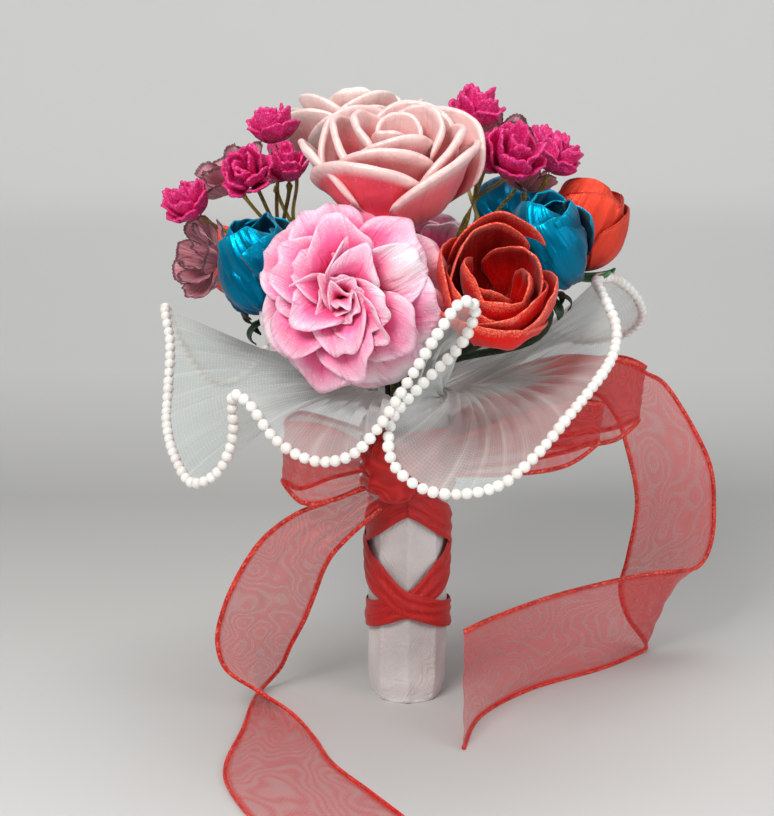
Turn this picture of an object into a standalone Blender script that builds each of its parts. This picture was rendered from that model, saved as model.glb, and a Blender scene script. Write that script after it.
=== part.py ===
"""Bridal bouquet of satin, organza and glitter flowers, standing on its cloth-wrapped handle.

The origin is the centre of the handle's flat foot, +Z is up and the front of the bouquet faces -Y.
Flowers sit on wired stems that are bundled in the handle's bore. A tulle collar edged with faux pearls
springs from the top of the handle, and a red organza ribbon is crossed round the handle and tied below
the collar, with loops and two tails.
"""
import math
from dataclasses import dataclass

import bmesh
import bpy
from mathutils import Matrix, Vector

MM = 0.001
SMALLEST_MERGE = 0.00001
HAIRLINE = 0.00002

# Handle
HANDLE_SIDES = 8
HANDLE_RADIUS = 15.4 * MM
FOOT_RADIUS = 13.5 * MM
FOOT_TAPER = 8 * MM
HANDLE_HEIGHT = 116 * MM
BORE_RADIUS = 9.8 * MM
BORE_FLOOR = 10 * MM

# Stems
STEM_RADIUS = 1.5 * MM
STEM_PITCH = 3.6 * MM
WIRE_RADIUS = 1.0 * MM
SEAT_GAP = 0.3 * MM
STEM_EXIT = 4 * MM
STEM_NECK = 7 * MM
STEM_BOW = 0.38
STEM_STEPS = 3
CALYX_THICKNESS = 0.9 * MM
CALYX_SINK = 0.6
SEPAL_COUNT = 5
SEPAL_GAP_REACH = 0.42
SEPAL_DROP = 0.28
SPRAY_WIRE_RADIUS = 1.35 * MM
FORK_LEAN_HEIGHT = 60 * MM
FORK_DEPTH = 2 * MM
BRANCH_BOW = 0.35
BRANCH_STEPS = 3

# Cloth
PETAL_THICKNESS = 1.0 * MM
TULLE_THICKNESS = 0.7 * MM
RIBBON_THICKNESS = 0.7 * MM

# Collar
COLLAR_COLUMNS = 68
COLLAR_ROWS = 2
NECK_RADIUS = 16.3 * MM
NECK_BOTTOM = 114.5 * MM
NECK_TOP = 119 * MM
COLLAR_RISE = 11 * MM
COLLAR_LEVEL = 120 * MM
COLLAR_TURNOVER = 25 * MM
COLLAR_SPRING = 14 * MM
COLLAR_BEND_PLACE = 0.62
COLLAR_BEND_SPLAY = 0.5
COLLAR_BEND_RISE = 0.9
DEEPEST_SAG = -0.7
LEAST_SPRING = 0.1
EDGE_STEPS = 12
PEARL_RADIUS = 2.0 * MM
PEARL_CLEARANCE = 0.8 * MM
PEARL_COUNT = 64
CORD_RADIUS = 0.8 * MM
PEARL_SIDES = 4


def clear_scene():
    """Removes whatever the file opened with."""
    for thing in list(bpy.data.objects):
        bpy.data.objects.remove(thing, do_unlink=True)


def finish(name, colour, roughness, metallic=0.0):
    """A plain material in the part's own colour."""
    material = bpy.data.materials.new(name)
    material.use_nodes = True
    shader = material.node_tree.nodes["Principled BSDF"]
    shader.inputs["Base Color"].default_value = (*colour, 1.0)
    shader.inputs["Roughness"].default_value = roughness
    shader.inputs["Metallic"].default_value = metallic
    return material


def add_object(name, mesh, material, collection):
    """Puts a mesh in a collection as a named object with its material."""
    thing = bpy.data.objects.new(name, mesh)
    if material is not None:
        mesh.materials.clear()
        mesh.materials.append(material)
    collection.objects.link(thing)
    return thing


def bent_sheet(columns, rows, form, joins_sides=False, joins_ends=False):
    """A grid bent by form(s, t), with s and t from 0 to 1, and split into triangles."""
    sheet = bmesh.new()
    bmesh.ops.create_grid(sheet, x_segments=columns, y_segments=rows, size=1.0)
    for vert in sheet.verts:
        vert.co = form((vert.co.x + 1) / 2, (vert.co.y + 1) / 2)
    if joins_sides or joins_ends:
        bmesh.ops.remove_doubles(sheet, verts=sheet.verts, dist=SMALLEST_MERGE)
    bmesh.ops.triangulate(sheet, faces=sheet.faces)
    mesh = bpy.data.meshes.new("sheet")
    sheet.to_mesh(mesh)
    sheet.free()
    return mesh


def thicken(thing, thickness):
    """Gives a sheet its thickness, half to each side."""
    solid = thing.modifiers.new("thickness", "SOLIDIFY")
    solid.thickness = thickness
    solid.offset = 0.0


def settle(thing):
    """Applies an object's modifiers."""
    graph = bpy.context.evaluated_depsgraph_get()
    mesh = bpy.data.meshes.new_from_object(thing.evaluated_get(graph))
    thing.modifiers.clear()
    thing.data = mesh


def tidy_mesh(mesh):
    """Closes the hairline edges that a union leaves, and splits every face into triangles."""
    work = bmesh.new()
    work.from_mesh(mesh)
    bmesh.ops.dissolve_limit(
        work, angle_limit=math.radians(0.5), verts=work.verts, edges=work.edges, delimit={"NORMAL"}
    )
    bmesh.ops.remove_doubles(work, verts=work.verts, dist=HAIRLINE)
    bmesh.ops.dissolve_degenerate(work, edges=work.edges, dist=HAIRLINE)
    loose = [edge for edge in work.edges if not edge.link_faces]
    bmesh.ops.delete(work, geom=loose, context="EDGES")
    bmesh.ops.triangulate(work, faces=work.faces)
    work.to_mesh(mesh)
    work.free()


def fuse(body, pieces):
    """Joins the pieces to the body in one Boolean union, then removes them."""
    group = bpy.data.collections.new("pieces_to_join")
    bpy.context.scene.collection.children.link(group)
    for piece in pieces:
        for owner in list(piece.users_collection):
            owner.objects.unlink(piece)
        group.objects.link(piece)
    union = body.modifiers.new("union", "BOOLEAN")
    union.operation = "UNION"
    union.operand_type = "COLLECTION"
    union.collection = group
    union.solver = "EXACT"
    settle(body)
    for piece in pieces:
        bpy.data.objects.remove(piece, do_unlink=True)
    bpy.data.collections.remove(group)
    tidy_mesh(body.data)
    return body


def tube(points, radius, sides_resolution, collection):
    """A capped round wire along the points, as a mesh."""
    data = bpy.data.curves.new("wire", "CURVE")
    data.dimensions = "3D"
    data.bevel_depth = radius
    data.bevel_resolution = sides_resolution
    data.use_fill_caps = True
    line = data.splines.new("POLY")
    line.points.add(len(points) - 1)
    for point, place in zip(line.points, points):
        point.co = (*place, 1.0)
    wire = bpy.data.objects.new("wire", data)
    collection.objects.link(wire)
    graph = bpy.context.evaluated_depsgraph_get()
    mesh = bpy.data.meshes.new_from_object(wire.evaluated_get(graph))
    weld = bmesh.new()
    weld.from_mesh(mesh)
    bmesh.ops.remove_doubles(weld, verts=weld.verts, dist=SMALLEST_MERGE)
    bmesh.ops.recalc_face_normals(weld, faces=weld.faces)
    weld.to_mesh(mesh)
    weld.free()
    bpy.data.objects.remove(wire, do_unlink=True)
    return add_object("wire", mesh, None, collection)


def smooth_through(points, count, closed=False):
    """Points at even steps of the knots along a Catmull-Rom curve through the given ones."""
    knots = [Vector(point) for point in points]
    total = len(knots)
    spans = total if closed else total - 1
    result = []
    for index in range(count if closed else count + 1):
        place = index / count * spans
        first = min(int(place), spans - 1)
        part = place - first
        if closed:
            a, b, c, d = (knots[(first + step) % total] for step in (-1, 0, 1, 2))
        else:
            a, b, c, d = (knots[max(0, min(total - 1, first + step))] for step in (-1, 0, 1, 2))
        result.append(
            0.5 * ((2 * b) + (c - a) * part + (2 * a - 5 * b + 4 * c - d) * part**2
                   + (3 * b - a - 3 * c + d) * part**3)
        )
    return result


def evenly_spaced(points, count, closed=False):
    """The same curve, sampled at equal lengths."""
    path = list(points) + ([points[0]] if closed else [])
    lengths = [0.0]
    for before, after in zip(path, path[1:]):
        lengths.append(lengths[-1] + (after - before).length)
    result = []
    segment = 0
    for index in range(count if closed else count + 1):
        target = lengths[-1] * index / count
        while segment < len(path) - 2 and lengths[segment + 1] < target:
            segment += 1
        span = lengths[segment + 1] - lengths[segment]
        part = (target - lengths[segment]) / span if span > 0 else 0.0
        result.append(path[segment].lerp(path[segment + 1], part))
    return result


def bezier(a, b, c, d, part):
    """A point on a cubic Bezier curve."""
    rest = 1 - part
    return a * rest**3 + b * (3 * rest**2 * part) + c * (3 * rest * part**2) + d * part**3


def standing_on(base, axis, spin=0.0):
    """The placement that takes a flower's own +Z to its axis and its foot to its base."""
    turn = Vector((0, 0, 1)).rotation_difference(Vector(axis).normalized()).to_matrix().to_4x4()
    return Matrix.Translation(base) @ turn @ Matrix.Rotation(math.radians(spin), 4, "Z")


# Petals and flowers. Their sizes are in millimetres in a flower's own frame, foot at the origin.

CUP_CORNER_CUT = 0.16
CUP_FOOT_SPREAD = 0.30
CUP_WIDENING = 1.8
CUP_RUFFLES = 2.5
PADDLE_CORNER_CUT = 0.22
PADDLE_ROOT_SPREAD = 0.3
PADDLE_WIDENING = 1.15
PADDLE_TWIST = math.radians(24)
PADDLE_WAVE = 1.5
PADDLE_WAVE_COUNT = 1.6
PADDLE_WAVE_START = 0.4
PADDLE_CURL = 0.10
CORE_FOOT_CUT = 0.12
LOBE_OUT = 0.4
LOBE_UP = 0.5
FRILL_OUT = 0.3
FRILL_DOWN = 0.4


@dataclass
class Ring:
    """One ring of petals round a flower's core."""

    count: int
    width: float
    foot_radius: float
    foot_height: float
    rim_radius: float
    rim_height: float
    flare: float = 0.0
    droop: float = 0.0
    lean: float = 1.2
    closing: float = 0.0
    swirl: float = 0.0
    ruffle: float = 0.0
    turn: float = 0.0
    columns: int = 3
    rows: int = 2


def cupped_petal(ring, heading):
    """A petal that rises from the core and wraps part of the way round it."""

    def form(s, t):
        side = 2 * s - 1
        reach = t * (1 - CUP_CORNER_CUT * side**4)
        bend = reach * math.pi / 2
        spread = CUP_FOOT_SPREAD + (1 - CUP_FOOT_SPREAD) * min(1.0, reach * CUP_WIDENING)
        angle = heading + math.radians(side * ring.width / 2 * spread + ring.swirl * reach**2)
        radius = ring.foot_radius + (ring.rim_radius - ring.foot_radius) * math.sin(bend)
        radius += ring.flare * reach**4 - ring.closing * reach**4 + ring.lean * side * reach
        height = ring.foot_height + (ring.rim_height - ring.foot_height) * (1 - math.cos(bend))
        height -= ring.droop * reach**6
        radius += ring.ruffle * math.cos(CUP_RUFFLES * math.pi * side) * reach**2
        return Vector((radius * math.cos(angle), radius * math.sin(angle), height)) * MM

    return form


def paddle_petal(heading, elevation, length, width, start, height):
    """A carnation petal: narrow at its root, wide, round and waved at its tip."""
    out = Vector((math.cos(heading), math.sin(heading), 0))
    across = Vector((-math.sin(heading), math.cos(heading), 0))
    up = Vector((0, 0, 1))
    along = out * math.cos(elevation) + up * math.sin(elevation)
    lift = up * math.cos(elevation) - out * math.sin(elevation)
    across_turned = across * math.cos(PADDLE_TWIST) + lift * math.sin(PADDLE_TWIST)
    lift_turned = lift * math.cos(PADDLE_TWIST) - across * math.sin(PADDLE_TWIST)

    def form(s, t):
        side = 2 * s - 1
        reach = t * (1 - PADDLE_CORNER_CUT * side**2)
        opening = math.sin(min(1.0, reach * PADDLE_WIDENING) * math.pi / 2)
        half = width / 2 * (PADDLE_ROOT_SPREAD + (1 - PADDLE_ROOT_SPREAD) * opening)
        ripple = PADDLE_WAVE * math.sin(math.pi * (PADDLE_WAVE_COUNT * side + PADDLE_WAVE_START)) * reach**2
        curl = -PADDLE_CURL * length * reach**3
        place = out * start + up * height + along * (length * reach)
        place += across_turned * (half * side) + lift_turned * (ripple + curl)
        return place * MM

    return form


def flower_core(radius, height, segments=8, rings=5):
    """The rounded middle of a flower, cut flat at its foot."""
    core = bmesh.new()
    bmesh.ops.create_uvsphere(core, u_segments=segments, v_segments=rings, radius=1.0)
    for vert in core.verts:
        vert.co = Vector((vert.co.x * radius, vert.co.y * radius, (vert.co.z + 1) / 2 * height)) * MM
    flat_height = CORE_FOOT_CUT * height * MM
    bmesh.ops.bisect_plane(
        core, geom=core.verts[:] + core.edges[:] + core.faces[:], plane_co=(0, 0, flat_height),
        plane_no=(0, 0, 1), clear_inner=True,
    )
    bmesh.ops.holes_fill(core, edges=core.edges)
    bmesh.ops.translate(core, verts=core.verts, vec=(0, 0, -flat_height))
    bmesh.ops.recalc_face_normals(core, faces=core.faces)
    mesh = bpy.data.meshes.new("core")
    core.to_mesh(mesh)
    core.free()
    return mesh


@dataclass
class Flower:
    """A flower's place, its middle and the direction that it opens in, in millimetres."""

    name: str
    kind: str
    middle: tuple
    axis: tuple
    spin: float = 0.0
    scale: float = 1.0


@dataclass
class Kind:
    """How a sort of flower is made."""

    height: float
    core: tuple
    rings: tuple
    calyx_radius: float


BLUSH_ROSE = Kind(
    height=40, core=(7, 27), calyx_radius=11,
    rings=(
        Ring(5, 96, 3.5, 4, 26, 29, flare=7, droop=4, lean=1.6, rows=3),
        Ring(4, 116, 3.5, 8, 18, 37, flare=2.5, droop=1, lean=1.4, turn=30),
        Ring(2, 205, 3.2, 13, 10, 40, lean=1.2, turn=70),
    ),
)
BLUSH_ROSE_SMALL = Kind(
    height=34, core=(6, 25), calyx_radius=10,
    rings=(
        Ring(4, 116, 3.2, 4, 22, 25, flare=4.5, droop=2.5, lean=1.8),
        Ring(3, 150, 3, 7, 15, 32, lean=1.5, turn=40),
        Ring(1, 300, 2.5, 14, 8.5, 34, lean=1.2, turn=80, columns=5),
    ),
)
RED_ROSE = Kind(
    height=36, core=(6, 19), calyx_radius=10,
    rings=(
        Ring(4, 118, 3.2, 3, 21.5, 30, flare=1.2, lean=1.7),
        Ring(3, 150, 3, 6, 15.5, 34, lean=1.5, turn=35),
        Ring(1, 290, 2.5, 9, 9, 33, lean=1.3, turn=75, columns=5),
    ),
)
BUD = Kind(
    height=37, core=(6, 27), calyx_radius=8,
    rings=(
        Ring(3, 150, 3, 3, 17.5, 34, closing=7, lean=1.9, swirl=35),
        Ring(2, 200, 2.8, 8, 12.0, 37, closing=6, lean=1.3, swirl=40, turn=40),
    ),
)
CORAL_BUD = Kind(
    height=37, core=(6, 25), calyx_radius=10,
    rings=(
        Ring(3, 150, 3, 3, 17, 33, closing=1.5, lean=1.8),
        Ring(2, 200, 2.8, 8, 12, 37, closing=3, lean=1.4, turn=40),
    ),
)


@dataclass
class Layered:
    """A small flower of folded strips: one wall that runs up and down in layers, with a lobed rim."""

    height: float
    columns: int
    lobes: int
    notch: float
    ruffle: float
    profile: tuple


# Each profile point: radius, height, how much of the notch it takes, and the turn of its lobes
MAUVE_CLUSTER = Layered(
    height=14, columns=10, lobes=5, notch=2.6, ruffle=1.0,
    profile=(
        (2.6, 0.0, 0.0, 0), (9.0, 2.6, 0.2, 0), (13.2, 8.8, 1.0, 0), (12.3, 9.4, 1.0, 0), (7.4, 4.6, 0.2, 0),
        (8.6, 12.8, 0.7, 36), (7.6, 13.2, 0.7, 36), (4.2, 7.8, 0.1, 36), (3.4, 13.2, 0.3, 0),
    ),
)
FOAM_ROSE = Layered(
    height=14.5, columns=10, lobes=5, notch=1.5, ruffle=0.9,
    profile=(
        (1.4, 0.0, 0.0, 0), (6.8, 3.4, 0.1, 0), (9.0, 9.6, 0.9, 0), (8.1, 10.1, 0.9, 0), (5.2, 5.6, 0.1, 0),
        (6.0, 13.6, 0.6, 36), (5.1, 13.9, 0.6, 36), (2.2, 8.0, 0.1, 36),
    ),
)
CARNATION_HEIGHT = 24
CARNATION_CORE = (6, 15)
CARNATION_CALYX = 10
# Each ring of a carnation: count, elevation in degrees, length, width, start radius, start height, turn
CARNATION_RINGS = ((7, 8, 27, 23, 3.0, 5, 0), (4, 38, 23, 21, 2.0, 9, 20), (3, 66, 16, 15, 1.0, 10, 50))

FLOWERS = (
    Flower("rose_blush_front", "blush", (-5, -27, 204), (0.0, -0.2, 0.98), 250),
    Flower("rose_blush_back", "blush_small", (-20, 39, 211), (-0.08, 0.16, 0.98), 20),
    Flower("carnation_front", "carnation", (-22, -60, 167), (-0.15, -0.97, 0.12), 10, 1.06),
    Flower("carnation_rear", "carnation", (13, 70, 155), (0.2, 0.93, 0.3), 12, 0.85),
    Flower("rose_red_front", "red", (30, -50, 167), (0.05, -0.7, 0.7), 80, 0.93),
    Flower("rose_red_rear", "red", (-34, 57, 157), (-0.4, 0.8, 0.4), 200, 0.85),
    Flower("bud_teal_left", "bud", (-52, -32, 172), (-0.2, -0.12, 0.97), 30),
    Flower("bud_teal_right", "bud", (49, -26, 179), (-0.05, -0.18, 0.97), 112),
    Flower("bud_teal_rear", "bud", (43, 61, 177), (0.3, 0.5, 0.82), 60),
    Flower("bud_coral_right", "coral", (65, 11, 180), (0.42, 0.02, 0.9), 200),
    Flower("bud_coral_rear", "coral", (-70, 43, 162), (-0.5, 0.3, 0.8), 90, 0.86),
)

# Sprays of filler: the place where the wires part, then the flowers that they carry
SPRAYS = (
    ("left_high", (-45, -3, 176), (
        Flower("mauve_left_high", "mauve", (-66.5, 5, 202), (-0.5, -0.2, 0.84), 28, 1.12),
        Flower("foam_rose_left_front", "foam", (-58, -20, 205), (-0.3, -0.75, 0.6), 0, 1.05),
        Flower("foam_rose_left_inner", "foam", (-44, -6, 206), (-0.1, -0.3, 0.95), 60, 0.9),
        Flower("foam_rose_left_top", "foam", (-50, 7, 219), (-0.2, 0.1, 0.97), 120, 1.0),
    )),
    ("left_low", (-50, -2, 172), (
        Flower("mauve_left_low", "mauve", (-75, -15, 173), (-0.7, -0.6, 0.3), 0, 1.05),
        Flower("foam_rose_left_outer", "foam", (-80, -12, 193.5), (-0.6, -0.3, 0.74), 30, 1.0),
    )),
    ("right_high", (24, 8, 190), (
        Flower("mauve_right_high", "mauve", (33, 22, 215), (0.3, 0.35, 0.9), 15, 1.1),
        Flower("foam_rose_right_top", "foam", (25, 1, 226), (0.1, -0.1, 0.99), 0, 1.05),
        Flower("foam_rose_right_front", "foam", (37, -12, 210.5), (0.15, -0.6, 0.8), 45, 1.38),
    )),
    ("right_low", (38, 8, 176), (
        Flower("mauve_right_low", "mauve", (45, 22, 197.5), (0.2, 0.4, 0.88), 40, 0.75),
        Flower("foam_rose_right_outer", "foam", (55, 7, 208), (0.4, -0.1, 0.9), 90, 1.05),
    )),
    ("rear_left", (-42, 26, 176), (
        Flower("mauve_rear_left", "mauve", (-53, 33, 200), (-0.3, 0.1, 0.95), 0, 1.0),
        Flower("foam_rose_rear_left", "foam", (-47, 58, 203), (-0.35, 0.6, 0.75), 0, 1.0),
    )),
    ("rear_right", (28, 40, 172), (
        Flower("mauve_rear_right", "mauve", (26, 56, 203), (0.3, 0.5, 0.82), 0, 1.0),
        Flower("foam_rose_rear_right", "foam", (52, 44, 208), (0.4, 0.4, 0.85), 0, 1.0),
    )),
)

KINDS = {
    "blush": BLUSH_ROSE, "blush_small": BLUSH_ROSE_SMALL, "red": RED_ROSE, "bud": BUD, "coral": CORAL_BUD,
    "mauve": MAUVE_CLUSTER, "foam": FOAM_ROSE,
}
COLOURS = {
    "blush": (0.70, 0.33, 0.32), "blush_small": (0.70, 0.36, 0.35), "carnation": (0.91, 0.33, 0.50),
    "red": (0.62, 0.01, 0.01), "bud": (0.0, 0.17, 0.27), "coral": (0.72, 0.10, 0.05),
    "mauve": (0.30, 0.10, 0.14), "foam": (0.50, 0.01, 0.12),
}


def flower_height(flower):
    """A flower's height along its axis, in millimetres."""
    if flower.kind == "carnation":
        return CARNATION_HEIGHT * flower.scale
    return KINDS[flower.kind].height * flower.scale


def flower_base(flower):
    """The point where a flower's foot sits, in metres."""
    axis = Vector(flower.axis).normalized()
    return (Vector(flower.middle) - axis * (flower_height(flower) / 2)) * MM


def layered_flower(kind):
    """A small flower as one closed wall turned about its axis, its rims lobed and ruffled."""
    rows = len(kind.profile) - 1

    def form(s, t):
        angle = 2 * math.pi * s
        radius, height, share, turn = kind.profile[round(t * rows)]
        wave = math.cos(kind.lobes * (angle - math.radians(turn)))
        fine = math.cos(2 * kind.lobes * angle + turn)
        radius += share * (kind.notch * LOBE_OUT * wave + kind.ruffle * FRILL_OUT * fine)
        height += share * (kind.notch * LOBE_UP * wave - kind.ruffle * FRILL_DOWN * fine)
        return Vector((radius * math.cos(angle), radius * math.sin(angle), height)) * MM

    sheet = bent_sheet(kind.columns, rows, form, joins_sides=True)
    wall = bmesh.new()
    wall.from_mesh(sheet)
    bmesh.ops.holes_fill(wall, edges=wall.edges)
    bmesh.ops.triangulate(wall, faces=wall.faces)
    bmesh.ops.recalc_face_normals(wall, faces=wall.faces)
    wall.to_mesh(sheet)
    wall.free()
    return sheet


def calyx_radius(flower):
    """How far a flower's sepals reach, in millimetres."""
    return CARNATION_CALYX if flower.kind == "carnation" else KINDS[flower.kind].calyx_radius


def petals_of(flower, collection):
    """Every petal of a flower as a thickened sheet."""
    petals = []
    if flower.kind == "carnation":
        for count, elevation, length, width, start, height, turn in CARNATION_RINGS:
            for index in range(count):
                heading = 2 * math.pi * index / count + math.radians(turn)
                form = paddle_petal(heading, math.radians(elevation), length, width, start, height)
                petals.append(add_object("petal", bent_sheet(2, 2, form), None, collection))
                thicken(petals[-1], PETAL_THICKNESS)
        return petals
    kind = KINDS[flower.kind]
    for ring in kind.rings:
        for index in range(ring.count):
            heading = 2 * math.pi * index / ring.count + math.radians(ring.turn)
            mesh = bent_sheet(ring.columns, ring.rows, cupped_petal(ring, heading))
            petals.append(add_object("petal", mesh, None, collection))
            thicken(petals[-1], PETAL_THICKNESS)
    return petals


def make_flower(flower, collection, material):
    """One flower, its petals joined to its core, standing on its base."""
    if flower.kind in ("mauve", "foam"):
        bloom = add_object(flower.name, layered_flower(KINDS[flower.kind]), None, collection)
    else:
        core = CARNATION_CORE if flower.kind == "carnation" else KINDS[flower.kind].core
        bloom = add_object(flower.name, flower_core(*core), None, collection)
        fuse(bloom, petals_of(flower, collection))
    bloom.data.transform(Matrix.Scale(flower.scale, 4))
    bloom.data.materials.clear()
    bloom.data.materials.append(material)
    bloom.matrix_world = standing_on(flower_base(flower), flower.axis, flower.spin)
    return bloom


# Stems


def stem_slots():
    """The places of the stems in the bore: one in the middle, then rings of six and twelve."""
    slots = []
    for row in range(-2, 3):
        for column in range(-2, 3):
            if abs(row + column) <= 2:
                x = STEM_PITCH * (column + row / 2)
                y = STEM_PITCH * row * math.sqrt(3) / 2
                slots.append(Vector((x, y, 0)))
    slots.sort(key=lambda slot: slot.length)
    return slots


def give_slots(targets):
    """Pairs each stem with a slot: flowers that lie far out take the outer ring, in order round it."""
    slots = stem_slots()
    order = sorted(targets, key=lambda target: Vector((target[1].x, target[1].y)).length)
    inner_count = max(0, len(order) - 12)
    groups = ((order[:inner_count], slots[1:7]), (order[inner_count:], slots[7:]))
    pairs = {}
    for members, places in groups:
        by_turn = sorted(members, key=lambda target: math.atan2(target[1].y, target[1].x))
        free = sorted(places, key=lambda slot: math.atan2(slot.y, slot.x))
        step = len(free) / max(1, len(by_turn))
        best, best_cost = None, None
        for start in range(len(free)):
            chosen = [free[(start + int(index * step)) % len(free)] for index in range(len(by_turn))]
            cost = sum(
                Vector((place.x, place.y)).angle(Vector((target[1].x, target[1].y)))
                for target, place in zip(by_turn, chosen)
            )
            if best_cost is None or cost < best_cost:
                best, best_cost = chosen, cost
        for target, place in zip(by_turn, best):
            pairs[target[0]] = place
    return pairs


def stem_path(slot, base, axis):
    """Straight up through the handle, then in one curve to the foot of the flower."""
    low = Vector((slot.x, slot.y, BORE_FLOOR + SEAT_GAP))
    high = Vector((slot.x, slot.y, HANDLE_HEIGHT + STEM_EXIT))
    end = base - axis * STEM_NECK
    pull = (end - high).length * STEM_BOW
    points = [low, high]
    for step in range(1, STEM_STEPS + 1):
        points.append(
            bezier(high, high + Vector((0, 0, pull)), end - axis * pull, end, step / STEM_STEPS)
        )
    points.append(base - axis * (SEAT_GAP + CALYX_THICKNESS * CALYX_SINK))
    return points


def make_calyx(radius, collection):
    """Five sepals in a star that curl back from the flower."""
    star = bmesh.new()
    bmesh.ops.create_circle(star, cap_ends=True, cap_tris=True, segments=2 * SEPAL_COUNT, radius=1.0)
    for vert in star.verts:
        distance = vert.co.xy.length
        if distance < 0.5:
            continue
        turn = round(math.atan2(vert.co.y, vert.co.x) / (math.pi / SEPAL_COUNT))
        is_tip = turn % 2 == 0
        reach = radius if is_tip else radius * SEPAL_GAP_REACH
        vert.co.xy = vert.co.xy.normalized() * reach * MM
        vert.co.z = -SEPAL_DROP * radius * MM if is_tip else 0.0
    mesh = bpy.data.meshes.new("calyx")
    star.to_mesh(mesh)
    star.free()
    calyx = add_object("calyx", mesh, None, collection)
    thicken(calyx, CALYX_THICKNESS)
    return calyx


def make_stem(flower, slot, collection, material):
    """A flower's stem with its calyx, up to a hair under the flower's foot."""
    base = flower_base(flower)
    axis = Vector(flower.axis).normalized()
    calyx = make_calyx(calyx_radius(flower), collection)
    lowered = base - axis * (SEAT_GAP + CALYX_THICKNESS / 2)
    calyx.matrix_world = standing_on(lowered, flower.axis, flower.spin)
    stem = tube(stem_path(slot, base, axis), STEM_RADIUS, 1, collection)
    stem.name = "stem_" + flower.name
    bpy.context.view_layer.update()
    fuse(stem, [calyx])
    stem.data.materials.clear()
    stem.data.materials.append(material)
    return stem


def make_spray(name, fork, flowers, slot, collection, material):
    """A spray's main wire and the thinner wires that leave it for each of its flowers."""
    fork_point = Vector(fork) * MM
    lean = Vector((fork_point.x, fork_point.y, FORK_LEAN_HEIGHT)).normalized()
    main = tube(stem_path(slot, fork_point, lean), SPRAY_WIRE_RADIUS, 1, collection)
    main.name = "wires_" + name
    branches = []
    start = fork_point - lean * FORK_DEPTH
    for flower in flowers:
        axis = Vector(flower.axis).normalized()
        end = flower_base(flower) - axis * SEAT_GAP
        pull = (end - start).length * BRANCH_BOW
        points = [
            bezier(start, start + lean * pull, end - axis * pull, end, step / BRANCH_STEPS)
            for step in range(BRANCH_STEPS + 1)
        ]
        branches.append(tube(points, WIRE_RADIUS, 0, collection))
    bpy.context.view_layer.update()
    fuse(main, branches)
    main.data.materials.clear()
    main.data.materials.append(material)
    return main


# Handle


def make_handle(collection, material):
    """The eight-sided padded handle, its foot drawn in a little, with the bore for the stems."""
    profile = bmesh.new()
    outline = (
        (0.0, BORE_FLOOR), (BORE_RADIUS, BORE_FLOOR), (BORE_RADIUS, HANDLE_HEIGHT),
        (HANDLE_RADIUS, HANDLE_HEIGHT), (HANDLE_RADIUS, FOOT_TAPER), (FOOT_RADIUS, 0.0), (0.0, 0.0),
    )
    verts = [profile.verts.new((radius, 0, height)) for radius, height in outline]
    for before, after in zip(verts, verts[1:]):
        profile.edges.new((before, after))
    mesh = bpy.data.meshes.new("handle_wrap")
    profile.to_mesh(mesh)
    profile.free()
    handle = add_object("handle_wrap", mesh, material, collection)
    turned = handle.modifiers.new("turned", "SCREW")
    turned.steps = HANDLE_SIDES
    turned.render_steps = HANDLE_SIDES
    turned.use_merge_vertices = True
    turned.merge_threshold = SMALLEST_MERGE
    turned.use_smooth_shade = False
    handle.rotation_euler = (0, 0, math.pi / HANDLE_SIDES)
    return handle


# Collar. The edge runs once round the bouquet, from behind on the left, along the front, to behind on the
# right. Its points are the middle of the pearl cord, in millimetres.

COLLAR_EDGE = (
    (-93, 25, 147), (-89.5, 8, 136), (-89, -8, 121), (-88, -22, 113), (-83.5, -38, 105), (-76, -52, 99.5),
    (-66, -60, 106), (-60.5, -63, 119), (-60, -67, 134), (-54, -73, 133), (-45, -78, 122),
    (-32.5, -84, 116.5), (-20, -89, 119.5), (-10.5, -91.5, 130), (0, -92, 147), (8.5, -91.5, 161),
    (15.5, -89.5, 170.5), (20.8, -84, 167.6), (16.4, -81.8, 155.4), (4.1, -80.5, 142), (-6, -85, 130.8),
    (-6.5, -94, 119.5), (3, -97, 111), (16, -96, 108.5), (30, -91, 110.5), (42, -84, 119),
    (52, -74, 128), (63, -60, 137), (70.5, -46, 144), (73, -32, 151.5), (70, -17, 159.5),
    (69, -3, 162.5), (76, 11.5, 161), (83, 22, 156), (89.5, 31, 148), (92, 42, 139), (86, 55, 130),
    (70, 69, 125), (55, 80, 130), (43, 89, 137), (28, 95, 130), (14, 97, 114), (-6, 96, 108),
    (-24, 92, 122), (-36, 88, 140), (-50, 80, 132), (-64, 69, 112), (-78, 57, 110), (-88, 42, 128),
)
NECK_START_TURN = 165.0


def collar_edge_points(count):
    """The pearl cord's middle at even lengths round the collar."""
    knots = [Vector(point) * MM for point in COLLAR_EDGE]
    rough = smooth_through(knots, EDGE_STEPS * len(COLLAR_EDGE), True)
    return evenly_spaced(rough, count, True)


def collar_lines(count):
    """For even steps round the collar: the neck point, its direction out, and the edge point."""
    edges = collar_edge_points(count)
    lines = []
    for index, edge in enumerate(edges):
        turn = math.radians(NECK_START_TURN + 360 * index / count)
        out = Vector((math.cos(turn), math.sin(turn), 0))
        lines.append((out, edge))
    return lines


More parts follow.
